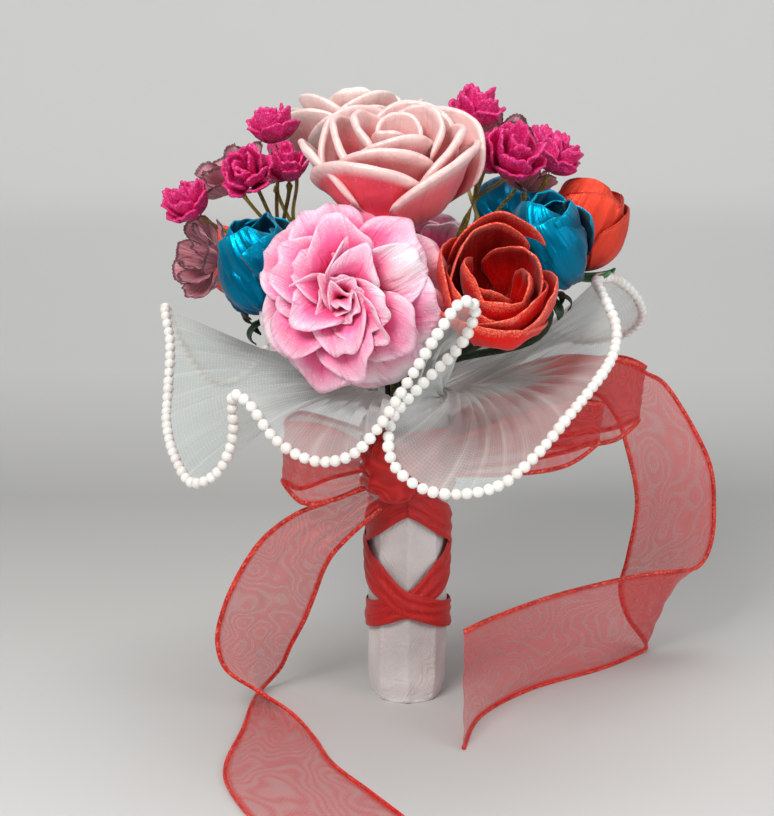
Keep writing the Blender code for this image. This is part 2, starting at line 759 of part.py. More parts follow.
def collar_point(out, edge, part, inset):
    """A point on the collar between the neck ring (part 0) and just inside the pearl cord (part 1)."""
    neck = out * NECK_RADIUS + Vector((0, 0, NECK_TOP))
    share = max(DEEPEST_SAG, min(1.0, 1 - (edge.z - COLLAR_LEVEL) / COLLAR_TURNOVER))
    first = neck + out * COLLAR_SPRING + Vector((0, 0, COLLAR_RISE * max(LEAST_SPRING, share)))
    straight_out = neck + out * ((edge - neck).xy.length * COLLAR_BEND_PLACE)
    second = neck.lerp(edge, COLLAR_BEND_PLACE)
    second.xy = second.xy.lerp(straight_out.xy, COLLAR_BEND_SPLAY)
    second.z += COLLAR_RISE * COLLAR_BEND_RISE * share
    direction = (edge - second).normalized()
    last = edge - direction * inset
    return bezier(neck, first, second, last, part)


def make_collar(collection, material):
    """The tulle collar: a short upright gather on the handle, then the waved skirt."""
    lines = collar_lines(COLLAR_COLUMNS)
    inset = PEARL_RADIUS + PEARL_CLEARANCE

    def form(s, t):
        out, edge = lines[round(s * COLLAR_COLUMNS) % COLLAR_COLUMNS]
        row = round(t * (COLLAR_ROWS + 1))
        if row == 0:
            return out * NECK_RADIUS + Vector((0, 0, NECK_BOTTOM))
        return collar_point(out, edge, (row - 1) / COLLAR_ROWS, inset)

    mesh = bent_sheet(COLLAR_COLUMNS, COLLAR_ROWS + 1, form, joins_sides=True)
    collar = add_object("tulle_collar", mesh, material, collection)
    thicken(collar, TULLE_THICKNESS)
    return collar


def make_pearls(collection, material):
    """The pearl cord on the collar's edge: beads at their true size on a thin cord."""
    stations = 2 * PEARL_COUNT
    middle = collar_edge_points(stations)

    def form(s, t):
        index = round(s * stations) % stations
        here = middle[index]
        along = (middle[(index + 1) % stations] - middle[index - 1]).normalized()
        level = along.cross(Vector((0, 0, 1)))
        level = level.normalized() if level.length > 0.05 else Vector((1, 0, 0))
        upward = level.cross(along).normalized()
        radius = PEARL_RADIUS if index % 2 == 0 else CORD_RADIUS
        turn = 2 * math.pi * round(t * PEARL_SIDES) / PEARL_SIDES
        return here + (level * math.cos(turn) + upward * math.sin(turn)) * radius

    mesh = bent_sheet(stations, PEARL_SIDES, form, joins_sides=True, joins_ends=True)
    beads = bmesh.new()
    beads.from_mesh(mesh)
    bmesh.ops.recalc_face_normals(beads, faces=beads.faces)
    beads.to_mesh(mesh)
    beads.free()
    return add_object("pearl_trim", mesh, material, collection)


# Ribbon. Each length is given by the middle of the ribbon, the direction across it and half its width
# there, or by its two edges, in millimetres.

LOOP_LEFT = (
    ((-16.7, -22, 97), (0, 0, 1), 8), ((-27, -32, 100), (0.05, 0, 1), 13),
    ((-37.5, -34, 101.5), (0.08, 0.05, 1), 14.5), ((-45.5, -27, 102), (0.06, 0.05, 1), 14.5),
    ((-40, -17, 101.5), (0, 0, 1), 14.5), ((-28, -9, 100), (0, 0, 1), 11), ((-17.3, -3.6, 98), (0, 0, 1), 8),
)
LOOP_RIGHT = (
    ((17.7, -1, 101), (0, 0, 1), 7), ((38, 3, 109), (-0.1, 0, 1), 13), ((60, 7, 113.5), (-0.1, 0.1, 1), 16.5),
    ((79, 9, 114.5), (0, 0.1, 1), 15.5), ((90, 15.5, 114.5), (0.1, 0.05, 1), 12.5),
    ((80, 22, 114), (0.05, 0.1, 1), 14), ((58, 20, 111), (-0.1, 0, 1), 14), ((36, 14, 106), (-0.1, 0, 1), 11),
    ((16.6, 6.2, 101), (0, 0, 1), 7),
)
LOOP_LOW = (
    ((12.5, -12.5, 97), (0, 0, 1), 6), ((36, -19, 103), (-0.1, 0, 1), 10),
    ((58, -15, 107), (0, 0.1, 1), 11.5), ((72, -7, 109), (0.1, 0, 1), 9), ((60, -1.5, 107), (0, 0, 1), 10),
    ((38, -5, 102), (-0.1, 0, 1), 8.5), ((16, -7.6, 97), (0, 0, 1), 6),
)
TAIL_LEFT_OUTER = (
    (-15.5, -21, 88.5), (-29, -23, 84), (-42, -26, 79.5), (-54, -29, 70.5), (-63.5, -29, 55.5),
    (-69.5, -27, 40), (-71, -26, 28.8), (-67.6, -25, 18.3), (-56.5, -24, 9.9), (-43.5, -29, 3),
    (-34.2, -47, 0.8), (-27, -68, 0.5), (-14, -90, 0.5), (0, -114, 0.5), (8, -131, 0.5),
)
TAIL_LEFT_INNER = (
    (-10, -21.5, 81), (-21, -22, 71), (-28, -21, 63), (-32, -15, 54), (-35, -9, 44), (-39.5, -4, 31),
    (-45, -2, 19.7), (-49.5, 1, 9), (-56.6, 0, 1.0), (-59.5, -14.5, 0.6), (-61.2, -38, 0.6),
    (-65, -70, 0.5), (-61, -92, 0.5), (-48, -120, 0.5), (-31, -144, 0.5),
)
TAIL_RIGHT_INNER = (
    (9, 15.4, 91), (24, 24, 92), (45, 29, 97), (62, 29, 107), (73, 29, 112), (81, 31, 104), (86.5, 35, 91),
    (92.5, 40, 65), (90, 44, 40), (88, 49, 25), (92, 52, 11), (98.5, 42, 3), (94, 37, 0.6), (77, 21, 0.5),
    (48, 0.5, 0.5), (27, -26, 0.5), (19.5, -56, 0.5),
)
TAIL_RIGHT_OUTER = (
    (5, 17.1, 104), (18, 27, 112), (38, 36, 119), (62, 44, 123.5), (84, 49, 120.5), (96, 50, 115.5),
    (106, 49, 108), (122, 48, 80), (125.5, 49, 57), (124, 47, 43), (118, 38, 38), (109, 28, 39.5),
    (101, 27, 39.3), (86, 22, 38.5), (57, 2, 38.5), (33, -21, 38.5), (20, -37, 38.5),
)
WRAP_RADIUS = 16.2 * MM
WRAP_STEP = 0.32 * MM
WRAP_HALF_WIDTH = 5.5 * MM
WRAP_COLUMNS = 27
# The turn round the handle from its front, in degrees, and the height of the band there
WRAP_ROUTE = (
    (0, 77.4), (60, 68), (90, 64), (180, 58), (270, 56), (315, 49.5), (360, 41), (420, 34.5), (450, 32),
    (550, 30),
)
BAND_COLUMNS = 20
BAND_RADIUS = 16.7 * MM
BAND_BOTTOM = 83.5 * MM
BAND_TOP = 109 * MM
KNOT_MIDDLE = (-5, -21.5, 95)
KNOT_SIZE = (11, 5.5, 13)
SHORT_LOOP_COLUMNS = 18
LONG_LOOP_COLUMNS = 22
TAIL_LEFT_COLUMNS = 36
TAIL_RIGHT_COLUMNS = 38
TAIL_ROWS = 2


def ribbon_from_lines(name, stations, columns, collection, material):
    """A ribbon through stations of middle, direction across and half width."""
    lows, highs = [], []
    for middle, across, half in stations:
        side = Vector(across).normalized() * half
        lows.append(Vector(middle) - side)
        highs.append(Vector(middle) + side)
    return ribbon_between(name, lows, highs, columns, collection, material)


def ribbon_between(name, lows, highs, columns, collection, material, rows=1):
    """A ribbon between two edges."""
    low_line = smooth_through([Vector(point) * MM for point in lows], columns)
    high_line = smooth_through([Vector(point) * MM for point in highs], columns)

    def form(s, t):
        index = round(s * columns)
        return low_line[index].lerp(high_line[index], t)

    mesh = bent_sheet(columns, rows, form)
    ribbon = add_object(name, mesh, material, collection)
    thicken(ribbon, RIBBON_THICKNESS)
    return ribbon


def wrap_height(turn):
    """The height of the crossed band at a turn from the front, in metres."""
    for (turn_a, height_a), (turn_b, height_b) in zip(WRAP_ROUTE, WRAP_ROUTE[1:]):
        if turn <= turn_b:
            part = (turn - turn_a) / (turn_b - turn_a)
            return (height_a + (height_b - height_a) * part) * MM
    return WRAP_ROUTE[-1][1] * MM


def wrap_band(hand, radius, collection):
    """One crossed band: hand is 1 to the left and -1 to the right."""
    last_turn = WRAP_ROUTE[-1][0]

    def form(s, t):
        turn = last_turn * s
        angle = math.radians(270 - hand * turn)
        height = wrap_height(turn) + (2 * t - 1) * WRAP_HALF_WIDTH
        return Vector((radius * math.cos(angle), radius * math.sin(angle), height))

    band = add_object("band", bent_sheet(WRAP_COLUMNS, 1, form), None, collection)
    thicken(band, RIBBON_THICKNESS)
    return band


def make_wrap(collection, material):
    """The two crossed bands on the handle, joined where they cross."""
    wrap = wrap_band(1, WRAP_RADIUS, collection)
    wrap.name = "ribbon_wrap"
    settle(wrap)
    fuse(wrap, [wrap_band(-1, WRAP_RADIUS + WRAP_STEP, collection)])
    wrap.data.materials.clear()
    wrap.data.materials.append(material)
    return wrap


def make_knot(collection, material):
    """The gathered band round the neck and the knot on its front."""

    def form(s, t):
        angle = 2 * math.pi * s
        height = BAND_BOTTOM + (BAND_TOP - BAND_BOTTOM) * t
        return Vector((BAND_RADIUS * math.cos(angle), BAND_RADIUS * math.sin(angle), height))

    band = add_object("ribbon_knot", bent_sheet(BAND_COLUMNS, 1, form, joins_sides=True), None, collection)
    thicken(band, RIBBON_THICKNESS)
    settle(band)
    ball = bmesh.new()
    bmesh.ops.create_uvsphere(ball, u_segments=10, v_segments=6, radius=MM)
    bmesh.ops.scale(ball, verts=ball.verts, vec=KNOT_SIZE)
    bmesh.ops.translate(ball, verts=ball.verts, vec=Vector(KNOT_MIDDLE) * MM)
    ball_mesh = bpy.data.meshes.new("knot")
    ball.to_mesh(ball_mesh)
    ball.free()
    fuse(band, [add_object("knot", ball_mesh, None, collection)])
    band.data.materials.clear()
    band.data.materials.append(material)
    return band


def make_ribbons(collection, material):
    """Every length of the red ribbon."""
    make_wrap(collection, material)
    make_knot(collection, material)
    ribbon_from_lines("bow_loop_left", LOOP_LEFT, SHORT_LOOP_COLUMNS, collection, material)
    ribbon_from_lines("bow_loop_right", LOOP_RIGHT, LONG_LOOP_COLUMNS, collection, material)
    ribbon_from_lines("bow_loop_low", LOOP_LOW, SHORT_LOOP_COLUMNS, collection, material)
    ribbon_between(
        "ribbon_tail_left", TAIL_LEFT_INNER, TAIL_LEFT_OUTER, TAIL_LEFT_COLUMNS, collection, material,
        TAIL_ROWS,
    )
    ribbon_between(
        "ribbon_tail_right", TAIL_RIGHT_INNER, TAIL_RIGHT_OUTER, TAIL_RIGHT_COLUMNS, collection, material,
        TAIL_ROWS,
    )


def main():
    """Builds the whole bouquet."""
    clear_scene()
    bouquet = bpy.data.collections.new("bridal_bouquet")
    bpy.context.scene.collection.children.link(bouquet)
    materials = {kind: finish(kind + "_cloth", colour, 0.5) for kind, colour in COLOURS.items()}
    green = finish("stem_green", (0.03, 0.07, 0.02), 0.6)
    olive = finish("wire_olive", (0.20, 0.18, 0.04), 0.6)
    make_handle(bouquet, finish("handle_cloth", (0.62, 0.60, 0.58), 0.9))
    targets = [(flower.name, flower_base(flower)) for flower in FLOWERS]
    targets += [("spray_" + name, Vector(fork) * MM) for name, fork, _ in SPRAYS]
    slots = give_slots(targets)
    for flower in FLOWERS:
        make_flower(flower, bouquet, materials[flower.kind])
        make_stem(flower, slots[flower.name], bouquet, green)
    for name, fork, flowers in SPRAYS:
        make_spray(name, fork, flowers, slots["spray_" + name], bouquet, olive)
        for flower in flowers:
            make_flower(flower, bouquet, materials[flower.kind])
    make_collar(bouquet, finish("tulle", (0.80, 0.82, 0.82), 0.8))
    make_pearls(bouquet, finish("pearl", (0.90, 0.89, 0.84), 0.25))
    make_ribbons(bouquet, finish("organza_red", (0.55, 0.02, 0.02), 0.5))


main()
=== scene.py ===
"""Dresses the bridal bouquet in its looks.

Satin, organza and glitter flowers stand in a tulle collar edged with faux pearls, above a handle wrapped
in white cloth and tied with sheer red ribbon. Sizes in the tables are in millimetres. A flower's petals
are laid out in its own frame, foot at the origin and opening along +Z.
"""
import logging
import math
import random
from dataclasses import dataclass, replace
from enum import Enum
from typing import Callable, Sequence

import bmesh
import bpy
from mathutils import Matrix, Vector, noise


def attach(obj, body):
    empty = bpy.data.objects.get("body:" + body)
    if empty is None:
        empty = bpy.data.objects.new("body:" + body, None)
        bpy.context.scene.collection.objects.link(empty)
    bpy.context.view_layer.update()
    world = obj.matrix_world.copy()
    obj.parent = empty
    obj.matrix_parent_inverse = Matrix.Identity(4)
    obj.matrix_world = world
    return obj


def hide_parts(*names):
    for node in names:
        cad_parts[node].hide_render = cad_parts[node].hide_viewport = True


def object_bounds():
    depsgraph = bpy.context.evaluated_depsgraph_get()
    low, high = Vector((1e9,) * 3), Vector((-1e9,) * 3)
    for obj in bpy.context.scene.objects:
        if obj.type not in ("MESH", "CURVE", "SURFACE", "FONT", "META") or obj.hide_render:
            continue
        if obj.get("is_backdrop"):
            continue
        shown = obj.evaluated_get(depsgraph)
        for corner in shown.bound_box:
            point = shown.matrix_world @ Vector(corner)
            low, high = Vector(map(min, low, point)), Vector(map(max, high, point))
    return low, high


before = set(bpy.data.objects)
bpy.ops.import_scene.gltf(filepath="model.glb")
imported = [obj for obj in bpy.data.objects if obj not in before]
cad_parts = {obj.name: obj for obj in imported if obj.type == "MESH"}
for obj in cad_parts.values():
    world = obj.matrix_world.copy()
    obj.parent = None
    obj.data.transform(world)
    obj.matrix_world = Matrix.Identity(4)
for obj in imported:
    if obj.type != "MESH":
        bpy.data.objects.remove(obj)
CAD_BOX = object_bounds()

MM = 0.001
BODY = "root"
log = logging.getLogger("bouquet")

Colour = tuple[float, float, float]
Triple = tuple[float, float, float]
Form = Callable[[float, float], Vector]
Tone = Callable[[float, float], float]


def rgb(red: int, green: int, blue: int) -> Colour:
    """A colour as a shader takes it, from its everyday values of 0 to 255."""
    return tuple((part / 255) ** 2.2 for part in (red, green, blue))


def clamp(value: float, low: float = 0.0, high: float = 1.0) -> float:
    """The value kept between two limits."""
    return max(low, min(high, value))


def smooth_step(value: float) -> float:
    """A soft ramp from 0 to 1."""
    value = clamp(value)
    return value * value * (3 - 2 * value)


def smooth_through(points: Sequence, count: int, closed: bool = False) -> list[Vector]:
    """Points at even steps of the knots along a smooth curve.

    Args:
        points: the knots that the curve goes through, as vectors or triples.
        count: the number of steps.
        closed: whether the curve returns to its first knot.

    Returns:
        The points, one more than the steps where the curve is open.
    """
    knots = [Vector(point) for point in points]
    total = len(knots)
    spans = total if closed else total - 1
    result = []
    for index in range(count if closed else count + 1):
        place = index / count * spans
        first = min(int(place), spans - 1)
        part = place - first
        near = [first + step for step in (-1, 0, 1, 2)]
        a, b, c, d = (knots[step % total if closed else max(0, min(total - 1, step))] for step in near)
        bend = (2 * a - 5 * b + 4 * c - d) * part**2 + (3 * b - a - 3 * c + d) * part**3
        result.append(0.5 * (2 * b + (c - a) * part + bend))
    return result


def evenly_spaced(points: Sequence[Vector], count: int, closed: bool = False) -> list[Vector]:
    """The same curve, sampled at equal lengths.

    Args:
        points: the curve's points.
        count: the number of steps.
        closed: whether the curve returns to its first point.

    Returns:
        The points, one more than the steps where the curve is open.
    """
    path = list(points) + ([points[0]] if closed else [])
    lengths = [0.0]
    for before, after in zip(path, path[1:]):
        lengths.append(lengths[-1] + (after - before).length)
    result = []
    segment = 0
    for index in range(count if closed else count + 1):
        target = lengths[-1] * index / count
        while segment < len(path) - 2 and lengths[segment + 1] < target:
            segment += 1
        span = lengths[segment + 1] - lengths[segment]
        part = (target - lengths[segment]) / span if span > 0 else 0.0
        result.append(path[segment].lerp(path[segment + 1], part))
    return result


def bezier(a: Vector, b: Vector, c: Vector, d: Vector, part: float) -> Vector:
    """A point on a cubic curve."""
    rest = 1 - part
    return a * rest**3 + b * (3 * rest**2 * part) + c * (3 * rest * part**2) + d * part**3


def line_length(points: Sequence[Vector]) -> float:
    """The length of a line of points."""
    return sum((after - before).length for before, after in zip(points, points[1:]))


def around(radius: float, turn: float, height: float = 0.0) -> Vector:
    """The point at a radius and a turn round the upright axis, at a height."""
    return Vector((radius * math.cos(turn), radius * math.sin(turn), height))


def add_object(name: str, data: bpy.types.ID) -> bpy.types.Object:
    """A new object in the scene."""
    thing = bpy.data.objects.new(name, data)
    bpy.context.scene.collection.objects.link(thing)
    return thing


# Node trees


def put(tree: bpy.types.NodeTree, kind: str, inputs: dict | None = None, **settings) -> bpy.types.Node:
    """Adds a node.

    Args:
        tree: the tree that gets it.
        kind: the node's type.
        inputs: a plain value or a tree's value to join, for each input's name or number.
        settings: the node's own properties.

    Returns:
        The node.
    """
    node = tree.nodes.new(kind)
    for key, setting in settings.items():
        setattr(node, key, setting)
    for key, given in (inputs or {}).items():
        if isinstance(given, Value):
            tree.links.new(given.socket, node.inputs[key])
        else:
            node.inputs[key].default_value = given
    return node


def sample(tree: bpy.types.NodeTree, kind: str, inputs: dict, output: int | str = 0, **settings) -> "Value":
    """One output of a new node."""
    return Value(tree, put(tree, kind, inputs, **settings).outputs[output])


def calc(tree: bpy.types.NodeTree, operation: str, *values, limit: bool = False) -> "Value":
    """The result of a Math node."""
    return sample(tree, "ShaderNodeMath", dict(enumerate(values)), operation=operation, use_clamp=limit)


class Value:
    """A value in a node tree. Sums and products of values become Math nodes."""

    def __init__(self, tree: bpy.types.NodeTree, socket: bpy.types.NodeSocket) -> None:
        """Wraps an output of one of the tree's nodes."""
        self.tree = tree
        self.socket = socket

    def __add__(self, other: "Value | float") -> "Value":
        """The sum."""
        return calc(self.tree, "ADD", self, other)

    def __sub__(self, other: "Value | float") -> "Value":
        """The difference."""
        return calc(self.tree, "SUBTRACT", self, other)

    def __rsub__(self, other: float) -> "Value":
        """The difference from a number."""
        return calc(self.tree, "SUBTRACT", other, self)

    def __mul__(self, other: "Value | float") -> "Value":
        """The product."""
        return calc(self.tree, "MULTIPLY", self, other)

    def __abs__(self) -> "Value":
        """The value without its sign."""
        return calc(self.tree, "ABSOLUTE", self)

    def plus(self, other: "Value | float") -> "Value":
        """The sum, kept between 0 and 1."""
        return calc(self.tree, "ADD", self, other, limit=True)

    def ramp(self, low: float, high: float, start: float = 0.0, end: float = 1.0) -> "Value":
        """The value's range stretched onto another, with soft ends."""
        inputs = {0: self, 1: low, 2: high, 3: start, 4: end}
        return sample(self.tree, "ShaderNodeMapRange", inputs, interpolation_type="SMOOTHSTEP")

    def mix(self, first: "Value | Colour", second: "Value | Colour") -> "Value":
        """The mix of two colours, with this much of the second."""
        ready = [colour if isinstance(colour, Value) else (*colour, 1.0) for colour in (first, second)]
        inputs = {0: self, 6: ready[0], 7: ready[1]}
        return sample(self.tree, "ShaderNodeMix", inputs, 2, data_type="RGBA", clamp_factor=True)

    def colours(self, *steps: tuple[float, Colour]) -> "Value":
        """A colour that changes with the value, from its places and the colours there."""
        node = put(self.tree, "ShaderNodeValToRGB", {0: self})
        stops = node.color_ramp.elements
        while len(stops) < len(steps):
            stops.new(0.5)
        for stop, (place, colour) in zip(stops, steps):
            stop.position = place
            stop.color = (*colour, 1.0)
        return Value(self.tree, node.outputs[0])

    def parts(self, kind: str = "XYZ") -> list["Value"]:
        """The three parts of a place, or of a colour."""
        node = put(self.tree, "ShaderNodeSeparate" + kind, {0: self})
        return [Value(self.tree, output) for output in node.outputs]


def glitter(place: Value, cells: Value, share: Value) -> tuple[Value, ...]:
    """Fine specks that catch the light: a mask of them and a tone for each."""
    colour = sample(place.tree, "ShaderNodeTexVoronoi", {"Vector": place, "Scale": cells}, "Color")
    lot, tone, _ = colour.parts("Color")
    return calc(place.tree, "GREATER_THAN", lot, 1.0 - share), tone


def crinkle(place: Value, creases: Value, waver: Value) -> tuple[Value, ...]:
    """Soft folds and creases: a height and a slow change of tone."""
    coarse = {"Vector": place, "Scale": creases, "Detail": 3.0, "Distortion": waver}
    slow = {"Vector": place, "Scale": creases * 0.22, "Detail": 2.0}
    ridge = abs(sample(place.tree, "ShaderNodeTexNoise", coarse) - 0.5)
    return 1.0 - ridge * 2.0, sample(place.tree, "ShaderNodeTexNoise", slow)


def weave(place: Value, threads: Value) -> tuple[Value, ...]:
    """The height of a plain weave, over and under."""
    across, along = (
        calc(place.tree, "SINE", part * (threads * math.pi)) for part in place.parts()[:2]
    )
    return (across * along * 0.5 + 0.5,)


def moire(place: Value, rings: Value) -> tuple[Value, ...]:
    """The wavering rings that two fine sheer layers of thread make."""
    drift = sample(place.tree, "ShaderNodeTexNoise", {"Vector": place, "Scale": 0.045, "Detail": 1.0})
    along, across, _ = place.parts()
    bow = calc(place.tree, "POWER", abs(across), 1.5) * 0.05
    phase = drift * 58.0 + bow + along * 0.22
    return (calc(place.tree, "SINE", phase * rings) * 0.5 + 0.5,)


def net(place: Value, cells: Value) -> tuple[Value, ...]:
    """Tulle's net: a mask of its threads, and one of the knots between them."""
    inputs = {"Vector": place, "Scale": cells, "Randomness": 0.28}
    edges, dots = (
        sample(place.tree, "ShaderNodeTexVoronoi", inputs, voronoi_dimensions="2D", feature=feature)
        for feature in ("DISTANCE_TO_EDGE", "F1")
    )
    return edges.ramp(0.16, 0.04), dots.ramp(0.45, 0.75)


class Effect(Enum):
    """The shared effects of the finishes: each one's name, its inputs and what makes it."""

    GLITTER = ("glitter_specks", ("Cells", "Share"), ("Mask", "Tone"), glitter)
    CRINKLE = ("soft_crinkle", ("Creases", "Waver"), ("Height", "Tone"), crinkle)
    WEAVE = ("plain_weave", ("Threads",), ("Height",), weave)
    MOIRE = ("moire_rings", ("Rings",), ("Bands",), moire)
    NET = ("tulle_net", ("Cells",), ("Threads", "Knots"), net)

    def build(self) -> None:
        """Makes the effect's node group."""
        name, inputs, outputs, nodes = self.value
        group = bpy.data.node_groups.new(name, "ShaderNodeTree")
        group.interface.new_socket(name="Vector", in_out="INPUT", socket_type="NodeSocketVector")
        for labels, way in ((inputs, "INPUT"), (outputs, "OUTPUT")):
            for label in labels:
                group.interface.new_socket(name=label, in_out=way, socket_type="NodeSocketFloat")
        given = group.nodes.new("NodeGroupInput").outputs[:len(inputs) + 1]
        result = group.nodes.new("NodeGroupOutput")
        for socket, value in zip(result.inputs, nodes(*(Value(group, one) for one in given))):
            group.links.new(value.socket, socket)


class Surface:
    """A new material: its tree, its shader and the places that its patterns read."""

    def __init__(self, name: str, roughness: float, **values) -> None:
        """Starts a material.

        Args:
            name: the finish's name.
            roughness: how rough the surface is where nothing changes it.
            values: other sockets of the shader, with underscores for spaces.
        """
        self.material = bpy.data.materials.new(name)
        self.material.use_nodes = True
        self.tree = self.material.node_tree
        self.shader = self.tree.nodes["Principled BSDF"]
        for key, value in {"Roughness": roughness, **values}.items():
            self.shader.inputs[key.replace("_", " ")].default_value = value
        places = self.tree.nodes.new("ShaderNodeTexCoord")
        self.place = Value(self.tree, places.outputs["Object"])
        self.cloth = Value(self.tree, places.outputs["UV"])

    def attribute(self, name: str) -> Value:
        """A value that the piece's vertices hold."""
        return sample(self.tree, "ShaderNodeAttribute", {}, "Fac", attribute_name=name)

    def effect(self, kind: Effect, place: Value | None = None, **inputs) -> list[Value]:
        """The values of a shared effect, read at a place or else on the object."""
        node = self.tree.nodes.new("ShaderNodeGroup")
        node.node_tree = bpy.data.node_groups[kind.value[0]]
        self.tree.links.new((place or self.place).socket, node.inputs[0])
        for key, value in inputs.items():
            node.inputs[key].default_value = value
        return [Value(self.tree, output) for output in node.outputs]

    def stretched(self, along: float, across: float) -> Value:
        """The cloth's own place, from its UV map of 0 to 1, with its two ways stretched."""
        return sample(self.tree, "ShaderNodeMapping", {0: self.cloth, "Scale": (along, across, 1.0)})

    def streaks(self, along: float, across: float, detail: float, waver: float = 0.0) -> Value:
        """Fine streaks drawn out on the cloth."""
        place = self.stretched(along, across)
        inputs = {"Vector": place, "Scale": 1.0, "Detail": detail, "Distortion": waver}
        return sample(self.tree, "ShaderNodeTexNoise", inputs)

    def feed(self, socket: str, value: Value) -> None:
        """Joins a value to one of the shader's inputs."""
        self.tree.links.new(value.socket, self.shader.inputs[socket])

    def bump(self, height: Value, strength: float, depth: float) -> None:
        """Raises the surface by a height, in metres."""
        inputs = {"Strength": strength, "Distance": depth, "Height": height}
        self.feed("Normal", sample(self.tree, "ShaderNodeBump", inputs))


# Finishes


@dataclass(frozen=True)
class SatinFinish:
    """Satin cloth with soft gathers and a silky shine: painted shade deep down among the petals, in the
    hollow and along the drawn pulls; painted highlights along the folded rims, in broad patches and as glints
    on specks near the rims.
    """

    name: str
    # The first colour is painted shade deep down in the flower. The colour at the folded rims is a painted
    # highlight, except on the coral, where it is a dark edge line. The last colour is painted on broad
    # patches and glints as highlights.
    depth_shade: Colour
    body: Colour
    rim: Colour
    flush: Colour
    highlight_colour: Colour
    # The share of specks near the rims that are painted bright as glints.
    speckle: float = 0.06
    gloss: float = 0.34
    lustre: float = 0.25
    rim_start: float = 0.84
    rim_blend: float = 0.08
    # How strongly broad patches are painted as highlights.
    patch_highlight: float = 0.0
    gathers: float = 0.0007
    # How strongly painted shade darkens the drawn pulls.
    creases: float = 0.16
    depth: float = 0.5

    def build(self) -> bpy.types.Material:
        """The finish as a material."""
        skin = Surface(
            self.name, self.gloss, Sheen_Weight=0.15, Sheen_Roughness=0.4, Anisotropic=0.55,
            Metallic=self.lustre, Specular_Tint=(*self.rim, 1.0),
        )
        folds, drift = skin.effect(Effect.CRINKLE, Creases=110.0, Waver=1.0)
        pulls = skin.streaks(16.0, 2.2, 2.5, 0.6)
        rise, shade = skin.attribute("rim"), skin.attribute("shade")
        height = rise + (drift - 0.5) * 0.22
        # Darker toward the foot as painted shade, paler at the rim as a painted highlight.
        cloth = height.colours(
            (self.depth - 0.4, self.depth_shade), (self.depth, self.body),
            (self.rim_start - self.rim_blend, self.body),
            (self.rim_start + self.rim_blend, self.rim), (1.0, self.rim),
        )
        # Broad patches painted as highlights.
        highlight_mask = drift.ramp(0.46, 0.62) * rise.ramp(0.35, 0.8)
        patch_highlit = (highlight_mask * self.patch_highlight).mix(cloth, self.highlight_colour)
        lit = (shade * height.ramp(0.98, 0.86, 0.05, 1.0)).mix(patch_highlit, self.flush)
        # A petal with a negative tone is painted dark as shade, in a rose's hollow.
        toned = (shade.ramp(0.0, -1.0) * rise.ramp(0.99, 0.86)).mix(lit, self.depth_shade)
        # Painted shade along the drawn pulls.
        crease_shaded = pulls.ramp(0.48, 0.28, 0.0, self.creases).mix(toned, self.depth_shade)
        # Specks near the rim painted bright as glints.
        specks, glint = skin.effect(Effect.GLITTER, Cells=3600.0, Share=self.speckle)
        rim_glints = specks * height.ramp(self.rim_start - 0.08, self.rim_start, 0.06, 1.0) * glint
        skin.feed("Base Color", (rim_glints * 0.6).mix(crease_shaded, self.highlight_colour))
        skin.feed("Roughness", pulls * 0.12 + (self.gloss - 0.06) - rim_glints * 0.1)
        skin.bump(pulls + folds * 0.5, 0.7, self.gathers)
        return skin.material


@dataclass(frozen=True)
class OrganzaFinish:
    """Sheer ribbon cloth with wavering moire rings, denser toward its edges."""

    name: str
    thread: Colour
    light: Colour
    cover: float
    width: float
    length: float
    sheen: float = 0.3
    thinning: float = 0.0

    def build(self) -> bpy.types.Material:
        """The finish as a material."""
        skin = Surface(self.name, 0.42, Sheen_Weight=self.sheen, Sheen_Roughness=0.35)
        place = skin.stretched(self.length, self.width)
        rings = skin.effect(Effect.MOIRE, place, Rings=1.6)[0]
        threads = skin.effect(Effect.WEAVE, place, Threads=1.6)[0]
        creases = skin.effect(Effect.CRINKLE, place, Creases=0.16, Waver=0.8)[0]
        along, across, _ = skin.cloth.parts()
        hem = (0.5 - abs(across - 0.5)).ramp(0.07, 0.015)
        skin.feed("Base Color", (rings * 0.36).mix(self.thread, self.light))
        cover = (rings * 0.14 + (self.cover - 0.07) + threads * 0.06).plus(hem * 0.30)
        skin.feed("Alpha", cover - along.ramp(0.55, 0.8, 0.0, self.thinning))
        skin.bump(threads + creases, 0.35, 0.0004)
        return skin.material


@dataclass(frozen=True)
class TulleFinish:
    """White net, sheer where it is open and milky where it is gathered, its grey thread painted as shade, its
    gathers painted lighter and its pleat lines painted as highlights.
    """

    name: str
    thread: Colour
    width: float
    length: float
    pitch: float = 1.25

    def build(self) -> bpy.types.Material:
        """The finish as a material."""
        skin = Surface(self.name, 0.7, Sheen_Weight=0.7, Sheen_Roughness=0.6)
        place = skin.stretched(self.length, self.width)
        threads, knots = skin.effect(Effect.NET, place, Cells=1 / self.pitch)
        cloud = skin.effect(Effect.CRINKLE, Creases=120.0, Waver=0.5)[1]
        gather = skin.attribute("shade")
        bright_pleats = skin.streaks(190.0, 1.6, 2.0, 0.8).ramp(0.47, 0.60) * gather.ramp(-0.1, 0.6)
        # The net's grey is painted shade; the gathers are painted lighter and the pleat lines are painted as
        # highlights.
        shaded_net = cloud.mix(self.thread, rgb(216, 225, 222))
        gather_highlit = gather.ramp(0.05, 0.7, 0.0, 0.75).mix(shaded_net, rgb(252, 250, 248))
        skin.feed("Base Color", bright_pleats.mix(gather_highlit, rgb(255, 253, 251)))
        cover = threads * 0.08 + 0.44 + knots * 0.06 + gather * 0.26 + bright_pleats * 0.42
        skin.feed("Alpha", cover.plus((cloud - 0.45) * 0.22))
        skin.bump(threads, 0.4, 0.0002)
        return skin.material


